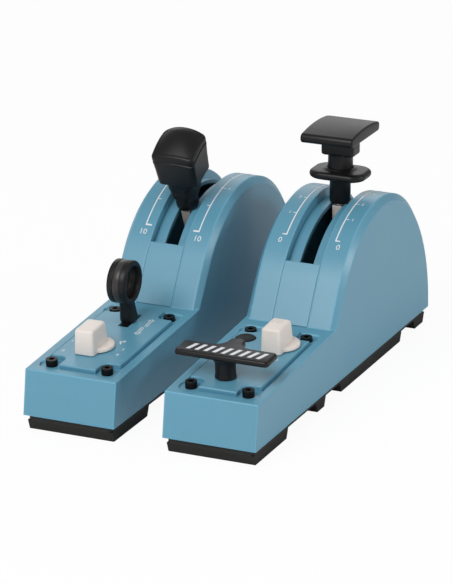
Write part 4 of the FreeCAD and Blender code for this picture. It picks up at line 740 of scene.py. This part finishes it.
@dataclass
class ParkingHandle:
    """T-handle: a flat bar with a thumb pad, a stem that flares under it and white slanted bars on top."""

    x: float = -2.2
    y: float = 29.2
    half: float = 28.25
    depth: float = 7.8
    top: float = 17.4
    thickness: float = 3.4
    pad: float = 5.0
    hollow: float = 7.0

    def outline(self) -> np.ndarray:
        """Bar from above: rounded ends, two hollows and a round pad behind the stem, counter-clockwise."""
        corner = 2.6

        def bow(cx: float, cy: float, radius: float, start: float, end: float, steps: int) -> np.ndarray:
            """Arc about a centre, between two angles in degrees."""
            t = np.radians(np.linspace(start, end, steps))
            return np.stack([cx + radius * np.cos(t), cy + radius * np.sin(t)], -1)

        wide, deep = self.half - corner, self.depth - corner
        reach = self.pad + self.hollow
        rise = self.depth + self.hollow
        return np.concatenate([
            bow(wide, -deep, corner, 270, 360, 7), bow(wide, deep, corner, 0, 90, 7),
            bow(reach, rise, self.hollow, 270, 190, 8), bow(0, rise, self.pad, 8, 172, 15),
            bow(-reach, rise, self.hollow, 350, 270, 8),
            bow(-wide, deep, corner, 90, 180, 7), bow(-wide, -deep, corner, 180, 270, 7),
        ])

    def bar(self) -> Skin:
        """Bar: the outline shrunk along its normals at the lower edge, and by a bevel at the upper."""
        line = self.outline()
        ahead = np.roll(line, -1, 0) - np.roll(line, 1, 0)
        normal = np.stack([ahead[:, 1], -ahead[:, 0]], -1)
        normal /= np.linalg.norm(normal, axis=1, keepdims=True)
        low = self.top - self.thickness
        z = np.array([low, low + 0.15, low + 0.5, low + 0.9, self.top - 1.5, self.top - 0.9, self.top - 0.4,
                      self.top - 0.12, self.top])
        inset = np.array([1.0, 0.6, 0.2, 0.0, 0.0, 0.15, 0.45, 0.85, 1.3])
        flat = line[None] - normal[None] * inset[:, None, None]
        return skin(stack(flat, z))

    def stem(self) -> Skin:
        """Stem: circles that widen at the plate and flare under the bar, drawn out towards the front."""
        z = np.array([2.25, 2.6, 3.2, 4.2, 5.5, 8.5, 10.2, 11.6, 12.7, 13.5, 14.3])
        half_x = np.array([5.8, 6.2, 6.1, 5.9, 5.8, 5.8, 5.9, 6.2, 7.0, 8.4, 10.0])
        half_y = np.array([5.8, 6.2, 6.1, 5.9, 5.8, 5.8, 5.8, 5.9, 6.2, 6.7, 7.2])
        turn = np.linspace(0, 2 * math.pi, 56, endpoint=False)
        rings = np.stack([half_x[:, None] * np.cos(turn), half_y[:, None] * np.sin(turn)], -1)
        return skin(stack(rings, z, -0.9))

    def stripes(self) -> Skin:
        """White slanted bars over the top, as wide and high as plain stencil strokes."""
        one = np.array([[0.0, -4.0], [2.4, -4.0], [4.9, 4.0], [2.5, 4.0]])
        heights = (self.top - 0.05, self.top + 0.04)
        return joined([
            skin(np.stack([np.column_stack([one + np.array([start, 0.0]), np.full(4, h)]) for h in heights]))
            for start in np.linspace(-22.5, 19.5, 9)
        ])

    def make(self, shop: Workshop) -> None:
        """Builds bar, stem and stripes; the spindle below stays hidden in its guide."""
        deck = LAYOUT.deck(Side.RIGHT)
        spindle = lathe([(3.6, -13.8), (3.6, 2.3)])
        shop.piece("Parking_bar", self.bar().moved(self.x, self.y), deck, "grip_black", "parking_handle",
                   ("park_handle",))
        shop.piece("Parking_stem", (self.stem() + spindle).moved(self.x, self.y), deck, "grip_black",
                   "parking_handle")
        shop.piece("Parking_stripes", self.stripes().moved(self.x, self.y), deck, "ink", "parking_handle")


@dataclass
class GearRing:
    """Wheel-shaped grip of the gear lever: a tyre with a paler band that paints the tread's highlight, a
    stepped hole and a square stem.
    """

    lean: float = 13.6
    reach: float = 36.6
    half: float = 5.7
    outer: float = 12.7
    hole: float = 9.3

    def tyre(self, profile: list[tuple[float, float]]) -> Skin:
        """Closed section of (x, radius) carried round the ring's axis, which runs across the module."""
        line = np.array(profile, float)
        turn = np.linspace(0, 2 * math.pi, 72, endpoint=False)
        y = np.cos(turn)[:, None] * line[None, :, 1]
        z = np.sin(turn)[:, None] * line[None, :, 1] + self.reach
        rings = np.stack([np.broadcast_to(line[None, :, 0], y.shape), y, z], -1)
        count, size = rings.shape[:2]
        index = np.arange(count * size).reshape(count, size)
        ahead, side = np.roll(index, -1, 0), np.roll(index, -1, 1)
        both = np.roll(ahead, -1, 1)
        quads = np.stack([index, side, both, ahead], -1).reshape(-1, 4)
        return Skin(rings.reshape(-1, 3), [tuple(q) for q in quads.tolist()])

    def body(self) -> Skin:
        """Tyre: rolled shoulders, a shallow bed for the band and a hole with bevels and two steps."""
        h, r, b = self.half, self.outer, self.hole
        return self.tyre([
            (-h, b + 0.9), (-h, r - 0.9), (-h + 0.2, r - 0.5), (-h + 0.5, r - 0.2), (-h + 0.9, r),
            (-2.15, r), (-2.05, r - 0.45), (2.05, r - 0.45), (2.15, r),
            (h - 0.9, r), (h - 0.5, r - 0.2), (h - 0.2, r - 0.5), (h, r - 0.9), (h, b + 0.9),
            (h - 0.25, b + 0.5), (h - 0.9, b + 0.1), (1.9, b), (1.6, b + 0.55), (-1.6, b + 0.55), (-1.9, b),
            (-h + 0.9, b + 0.1), (-h + 0.25, b + 0.5),
        ])

    def band(self) -> Skin:
        """Paler band that lies in the tyre's bed; its pale colour is a painted highlight on the tread."""
        r = self.outer - 0.12
        return self.tyre([(-1.95, r - 0.5), (-1.95, r - 0.12), (-1.75, r), (1.75, r), (1.95, r - 0.12),
                          (1.95, r - 0.5)])

    def clear_of_plate(self, points: np.ndarray) -> np.ndarray:
        """Lifts the foot by 0.30 y behind the pin and 0.10 |y| before it, fading out 4 mm higher."""
        y = points[:, 1]
        lift = 0.30 * np.maximum(y, 0) + 0.10 * np.maximum(-y, 0)
        lifted = points.copy()
        lifted[:, 2] += lift * np.clip((14.4 - points[:, 2]) / 4.0, 0, 1)
        return lifted

    def stem(self) -> Skin:
        """Square stem with round corners that widens to its foot, over a flat tongue in the slot."""
        top = self.reach - self.outer + 1.2
        z = np.array([10.42, 10.6, 11.1, 12.2, 14.5, 17.5, 21.0, 24.0, top])
        half = np.array([3.5, 4.05, 4.3, 4.35, 4.25, 4.0, 3.8, 3.8, 4.0])
        stem = skin(stack(corner_ring(half, half, half * 0.5, 8), z)).bent(self.clear_of_plate)
        tongue = soft_block(2.7, 4.0, 0.3, 2.0, 11.4, (0.2, 0.2))
        eye = lathe([(4.3, -2.7), (4.4, -2.6), (4.4, 2.6), (4.3, 2.7)]).bent(lambda p: p[:, [2, 0, 1]])
        return stem + tongue + eye

    def make(self, shop: Workshop) -> None:
        """Builds tyre, band and stem."""
        frame = LAYOUT.gear(self.lean)
        shop.piece("Gear_tyre", self.body(), frame, "black_plastic", "gear_lever", ("gear_lever",))
        # The band's paler finish is a painted highlight on the tread.
        shop.piece("Gear_tread_highlight", self.band(), frame, "tyre_tread_highlight", "gear_lever")
        shop.piece("Gear_stem", self.stem(), frame, "black_plastic", "gear_lever")


@dataclass
class Selector:
    """Rotary selector: a drafted grip with rolled edges over a round skirt."""

    node: str
    body: str
    side: Side
    x: float
    y: float
    ribs: int = 0
    half: float = 6.2
    front: float = -13.6
    depth: float = 20.5
    low: float = 2.2
    top: float = 17.0
    skirt: float = 10.7

    def grip(self) -> Skin:
        """Grip: a block whose rear leans in more than its other sides."""
        half_y = self.depth / 2
        middle = self.front + half_y
        return soft_block(self.half, half_y, 1.8, self.low, self.top, (0.35, 1.4), (0.6, 1.4),
                          (middle, middle - 0.8))

    def disc(self) -> Skin:
        """Skirt: a low turned disc with a rolled edge, and a fairing that runs up the grip's rear."""
        r, low = self.skirt, self.low
        disc = lathe([(r - 0.5, low), (r, low + 0.4), (r, low + 1.6), (r - 0.25, low + 2.1),
                      (r - 0.8, low + 2.35), (r - 2.2, low + 2.5), (0.5, low + 2.5)], 72).moved(0.9, 0.5)
        fairing = soft_block(4.8, 3.4, 3.2, low + 2.0, low + 4.6, (0.2, 1.0), (1.6, 1.6), (5.4, 4.4))
        return disc + fairing

    def nicks(self) -> Skin:
        """Small raised ribs across the top, near the rear."""
        rib = soft_block(0.42, 2.5, 0.4, self.top - 0.4, self.top + 0.35, (0.05, 0.3))
        return joined([rib.moved(-3.0 + 2.2 * k, -1.2) for k in range(self.ribs)])

    def make(self, shop: Workshop) -> None:
        """Builds the grip with its skirt."""
        shape = self.grip() + self.disc()
        if self.ribs:
            shape = shape + self.nicks()
        shop.piece(self.body.capitalize(), shape.moved(self.x, self.y), LAYOUT.deck(self.side),
                   "knob_ivory", self.body, (self.node,))


@dataclass
class PushButton:
    """Round button with a shallow dish and a rolled rim."""

    x: float = -14.0
    y: float = 82.8
    radius: float = 5.7
    top: float = 2.35

    def make(self, shop: Workshop) -> None:
        """Builds the button."""
        r, t = self.radius, self.top
        shape = lathe([(r, t - 6.1), (r, t - 0.55), (r - 0.15, t - 0.22), (r - 0.5, t), (r - 0.9, t),
                       (r - 1.6, t - 0.2), (r - 3.4, t - 0.34), (0.4, t - 0.4)])
        shop.piece("Push_button", shape.moved(self.x, self.y), LAYOUT.deck(Side.RIGHT), "black_plastic",
                   "push_button", ("push_button",))


# ---------------------------------------------------------------- print


@dataclass
class Print:
    """Ink on a module: flat outlines with a little body, mapped onto the tower's arc or the plate."""

    lift: float = 0.05
    plate_top: float = 1.8

    def on_arc(self, points: np.ndarray) -> np.ndarray:
        """Maps (x, degrees back from the top, height) onto the tower, at arc radius plus height."""
        turn = np.radians(points[:, 1])
        r = LAYOUT.arc_radius + points[:, 2]
        y, z = LAYOUT.axle_y + r * np.sin(turn), LAYOUT.axle_z + r * np.cos(turn)
        return np.stack([points[:, 0], y, z], -1)

    def band(self, x0: float, x1: float, a0: float, a1: float, steps: int = 40) -> Skin:
        """Rectangle on the arc between two x and two angles, as a closed thin strip."""
        angle = np.linspace(a0, a1, steps)
        corners = ((x0, self.lift), (x1, self.lift), (x1, INK_FOOT), (x0, INK_FOOT))
        ring = np.stack([np.stack([np.full(steps, x), angle, np.full(steps, h)], -1) for x, h in corners],
                        axis=1)
        return skin(ring[::-1]).bent(self.on_arc)

    def arc_text(self, text: str, x: float, angle: float, height: float) -> Skin:
        """Plain number on the arc, its foot towards the user."""
        shape = letters(text, height)
        per_mm = math.degrees(1 / LAYOUT.arc_radius)

        def rule(points: np.ndarray) -> np.ndarray:
            """Shift to the place, with y turned into an angle."""
            lifted = np.where(points[:, 2] > 0, self.lift, INK_FOOT)
            return self.on_arc(np.stack([points[:, 0] + x, angle + points[:, 1] * per_mm, lifted], -1))

        return shape.bent(rule)

    def flat(self, shape: Skin, x: float, y: float, turn: float = 0.0) -> Skin:
        """Puts a flat shape on the plate, turned by an angle in degrees."""
        c, s = math.cos(math.radians(turn)), math.sin(math.radians(turn))

        def rule(points: np.ndarray) -> np.ndarray:
            """Turn about z and shift to the place on the plate."""
            lifted = self.plate_top + np.where(points[:, 2] > 0, self.lift, INK_FOOT)
            return np.stack([c * points[:, 0] - s * points[:, 1] + x, s * points[:, 0] + c * points[:, 1] + y,
                             lifted], -1)

        return shape.bent(rule)

    def put(self, shop: Workshop, name: str, parts: list[Skin], frame: Frame) -> None:
        """Makes one piece of ink that stays on the modules."""
        shop.piece(name, joined(parts), frame, "ink", "modules")


def slab(corners: list[tuple[float, float]]) -> Skin:
    """Flat outline with two sheets, at z = 0 and 1, for a rule to lift."""
    line = np.array(corners, float)
    rings = np.stack([np.column_stack([line, np.full(len(line), h)]) for h in (0.0, 1.0)])
    return skin(rings)


def letters(text: str, height: float) -> Skin:
    """Plain characters as a closed flat shape, centred, with capitals of a height.

    Args:
        text: numbers or signs.
        height: height of a digit.

    Returns:
        Skin with z = 0 and 1 for its two sheets.
    """
    curve = bpy.data.curves.new("Letters", "FONT")
    curve.body = text
    curve.align_x = "CENTER"
    curve.align_y = "CENTER"
    curve.size = height / 0.72
    curve.resolution_u = 4
    curve.extrude = 0.5
    made = bpy.data.objects.new("Letters", curve)
    bpy.context.scene.collection.objects.link(made)
    mesh = bpy.data.meshes.new_from_object(made.evaluated_get(bpy.context.evaluated_depsgraph_get()))
    points = np.empty(len(mesh.vertices) * 3)
    mesh.vertices.foreach_get("co", points)
    points = points.reshape(-1, 3) + np.array([0, 0, 0.5])
    faces = [tuple(p.vertices) for p in mesh.polygons]
    bpy.data.objects.remove(made)
    bpy.data.curves.remove(curve)
    bpy.data.meshes.remove(mesh)
    return Skin(points, faces)


def joined(parts: list[Skin]) -> Skin:
    """Several skins in one."""
    made = parts[0]
    for part in parts[1:]:
        made = made + part
    return made


@dataclass
class TowerScale:
    """Scale beside the lever's slot: two long lines with ticks and plain numbers."""

    side: Side
    line_x: float
    start: float
    end: float
    ticks: tuple[tuple[float, float, float, float], ...]
    numbers: tuple[tuple[str, float, float, float], ...]
    width: float = 0.75

    def make(self, shop: Workshop) -> None:
        """Builds both lines, their ticks and numbers."""
        ink = Print()
        parts = []
        for sign in (-1, 1):
            x = sign * self.line_x
            parts.append(ink.band(x - self.width / 2, x + self.width / 2, self.start, self.end, 60))
            for angle, inner, outer, thick in self.ticks:
                low, high = sorted((sign * inner, sign * outer))
                spread = math.degrees(thick / LAYOUT.arc_radius) / 2
                parts.append(ink.band(low, high, angle - spread, angle + spread, 3))
            for text, number_x, angle, height in self.numbers:
                parts.append(ink.arc_text(text, sign * number_x, angle, height))
        ink.put(shop, f"Scale_{self.side.name.lower()}", parts, LAYOUT.module(self.side))


@dataclass
class PlatePrint:
    """Print on the control plates: outlined arrows, dial ticks and plain numbers."""

    def arrow(self, length: float, shaft: float, head: float, line: float) -> Skin:
        """Outlined arrow along +y: its outer outline and a smaller one inside, joined as a ring."""
        def outline(grow: float) -> np.ndarray:
            """Seven corners of the arrow, moved in by an amount."""
            s, h, top = shaft / 2 - grow, head / 2 - grow * 2.0, length - grow * 1.9
            neck = length - head * 0.55 + grow * 0.6
            return np.array([(-s, grow), (s, grow), (s, neck), (h, neck), (0, top), (-h, neck), (-s, neck)])

        outer, inner = outline(0.0), outline(line)
        section = ((inner, 0.0), (outer, 0.0), (outer, 1.0), (inner, 1.0), (inner, 0.0))
        rings = np.stack([np.column_stack([edge, np.full(7, h)]) for edge, h in section])
        return skin(rings, low=False, high=False)

    def digits(self, *places: tuple[str, float, float]) -> list[Skin]:
        """Plain numbers on the plate, each given as its text, x and y."""
        return [Print().flat(letters(text, DIGIT), x, y) for text, x, y in places]

    def make(self, shop: Workshop) -> None:
        """Builds the print of both plates."""
        ink = Print()
        arrow = self.arrow(10.6, 1.9, 4.6, 0.5)
        dial = [slab([(0, 0), (0.9, 0), (0.9, 3.2), (0, 3.2)]),
                slab([(0, 3.2), (3.6, 3.2), (3.6, 4.1), (0, 4.1)])]
        parts = [
            ink.flat(arrow, 11.5, 78.0, 4.0), ink.flat(arrow, 10.4, 76.0, 184.0),
            ink.flat(joined(dial), 8.6, 49.4, 28.0),
            *self.digits(("1", -22.0 + 3.4, 44.4), ("0", -17.6, 30.3), ("2", 9.4, 54.0), ("3", 13.5, 43.4),
                         ("4", 13.6, 35.6)),
        ]
        ink.put(shop, "Plate_print_left", parts, LAYOUT.deck(Side.LEFT))
        marks = [
            *self.digits(("0", 14.6, 60.2), ("1", 3.2, 62.4)),
            ink.flat(slab([(-0.3, 0), (0.3, 0), (0.3, 2.2), (-0.3, 2.2)]), 8.6, 59.6),
        ]
        ink.put(shop, "Plate_print_right", marks, LAYOUT.deck(Side.RIGHT))


# ---------------------------------------------------------------- studio


@dataclass
class Lamp:
    """One soft area lamp aimed at a point."""

    name: str
    place: tuple[float, float, float]
    power: float
    size: float
    colour: tuple[float, float, float] = (1.0, 1.0, 1.0)
    target: tuple[float, float, float] = (0.0, 0.0, 0.05)

    def make(self) -> None:
        """Adds the lamp."""
        lamp = bpy.data.lights.new(self.name, "AREA")
        lamp.energy = self.power
        lamp.size = self.size
        lamp.color = self.colour
        made = bpy.data.objects.new(self.name, lamp)
        made.location = self.place
        made.rotation_euler = (Vector(self.place) - Vector(self.target)).to_track_quat("Z", "Y").to_euler()
        bpy.context.scene.collection.objects.link(made)


@dataclass
class Studio:
    """White studio: camera, lamps, pale floor and a world that shows white behind the object."""

    place: tuple[float, float, float] = (0.76794, -1.7392, 0.7091)
    azimuth: float = 23.972
    elevation: float = 19.118
    lens: float = 213.45
    ambient: float = 0.40
    lamps: tuple[Lamp, ...] = (
        Lamp("Key", (-0.2, -1.25, 1.25), 17.0, 0.9),
        Lamp("Fill", (1.5, -0.6, 0.7), 0.6, 1.2),
        Lamp("Rim", (1.62, 0.35, 0.68), 5.0, 0.3),
        Lamp("Back", (-0.7, 1.7, 0.8), 4.5, 1.2),
    )

    def camera(self) -> None:
        """Adds the camera and frames the pair."""
        scene = bpy.context.scene
        data = bpy.data.cameras.new("Camera")
        data.lens = self.lens
        data.sensor_width = 36
        data.sensor_fit = "AUTO"
        made = bpy.data.objects.new("Camera", data)
        made.location = self.place
        turn, rise = math.radians(self.azimuth), math.radians(self.elevation)
        back = Vector((math.sin(turn) * math.cos(rise), -math.cos(turn) * math.cos(rise), math.sin(rise)))
        made.rotation_euler = back.to_track_quat("Z", "Y").to_euler()
        scene.collection.objects.link(made)
        scene.camera = made

    def backdrop(self) -> None:
        """World: plain white to the camera, dimmer as light."""
        world = bpy.data.worlds.new("Studio")
        world.use_nodes = True
        nodes, links = world.node_tree.nodes, world.node_tree.links
        light = nodes["Background"]
        light.inputs["Color"].default_value = (1, 1, 1, 1)
        light.inputs["Strength"].default_value = self.ambient
        white = nodes.new("ShaderNodeBackground")
        white.inputs["Color"].default_value = (1, 1, 1, 1)
        path = nodes.new("ShaderNodeLightPath")
        mix = nodes.new("ShaderNodeMixShader")
        links.new(path.outputs["Is Camera Ray"], mix.inputs["Fac"])
        links.new(light.outputs[0], mix.inputs[1])
        links.new(white.outputs[0], mix.inputs[2])
        links.new(mix.outputs[0], nodes["World Output"].inputs["Surface"])
        bpy.context.scene.world = world

    def floor(self) -> None:
        """Pale floor that keeps a faint shadow."""
        mesh = bpy.data.meshes.new("Floor")
        mesh.from_pydata([(-4, -4, 0), (4, -4, 0), (4, 4, 0), (-4, 4, 0)], [], [(0, 1, 2, 3)])
        tree = Tree("Floor_white")
        tree.finish(Base_Color=(0.96, 0.96, 0.96, 1), Roughness=0.9)
        emit = tree.node("ShaderNodeEmission", Color=(1, 1, 1, 1), Strength=1.0)
        path = tree.nodes.new("ShaderNodeLightPath")
        mix = tree.node("ShaderNodeMixShader")
        tree.feed(mix.inputs["Fac"], Term(tree, path.outputs["Is Camera Ray"]) * 0.94)
        tree.links.new(tree.shader.outputs[0], mix.inputs[1])
        tree.links.new(emit.outputs[0], mix.inputs[2])
        tree.links.new(mix.outputs[0], tree.nodes["Material Output"].inputs["Surface"])
        mesh.materials.append(tree.material)
        made = bpy.data.objects.new("Floor", mesh)
        bpy.context.scene.collection.objects.link(made)

    def make(self) -> None:
        """Sets up the whole studio."""
        bpy.context.scene.view_settings.view_transform = "Standard"
        self.camera()
        self.backdrop()
        self.floor()
        for lamp in self.lamps:
            lamp.make()


def main() -> None:
    """Builds the scene in order."""
    logging.basicConfig(level=logging.INFO, format="%(name)s: %(message)s")
    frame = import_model()
    Studio().make()
    shop = Workshop()
    shop.dress(frame)
    SpeedHead().make(shop)
    FlapPaddle().make(shop)
    ParkingHandle().make(shop)
    GearRing().make(shop)
    Selector("autobrake_knob", "autobrake_selector", Side.LEFT, -3.3, 40.8).make(shop)
    Selector("trim_knob", "trim_selector", Side.RIGHT, 8.6, 78.8, ribs=3).make(shop)
    PushButton().make(shop)
    TowerScale(Side.RIGHT, 15.3, -37.0, 45.0,
               ((-36.8, 15.0, 17.9, 0.8), *((angle, 15.3, 17.6, 0.5) for angle in (-23.2, -10.4, 4.0, 18.0))),
               (*((text, 19.6, angle, 2.4) for text, angle in (("1", -23.2), ("2", -10.4), ("3", 4.0))),
                ("0", 18.0, -40.2, 3.6))).make(shop)
    TowerScale(Side.LEFT, 17.0, -42.0, 45.0,
               ((-41.8, 13.4, 17.3, 1.1), (-26.2, 14.8, 17.0, 0.5), (-12.0, 16.0, 19.6, 0.5),
                (2.0, 14.8, 17.0, 0.5)),
               (("10", 17.4, -45.6, 3.6), ("5", 21.6, -12.0, 2.4))).make(shop)
    PlatePrint().make(shop)


if __name__ == "__main__":
    main()
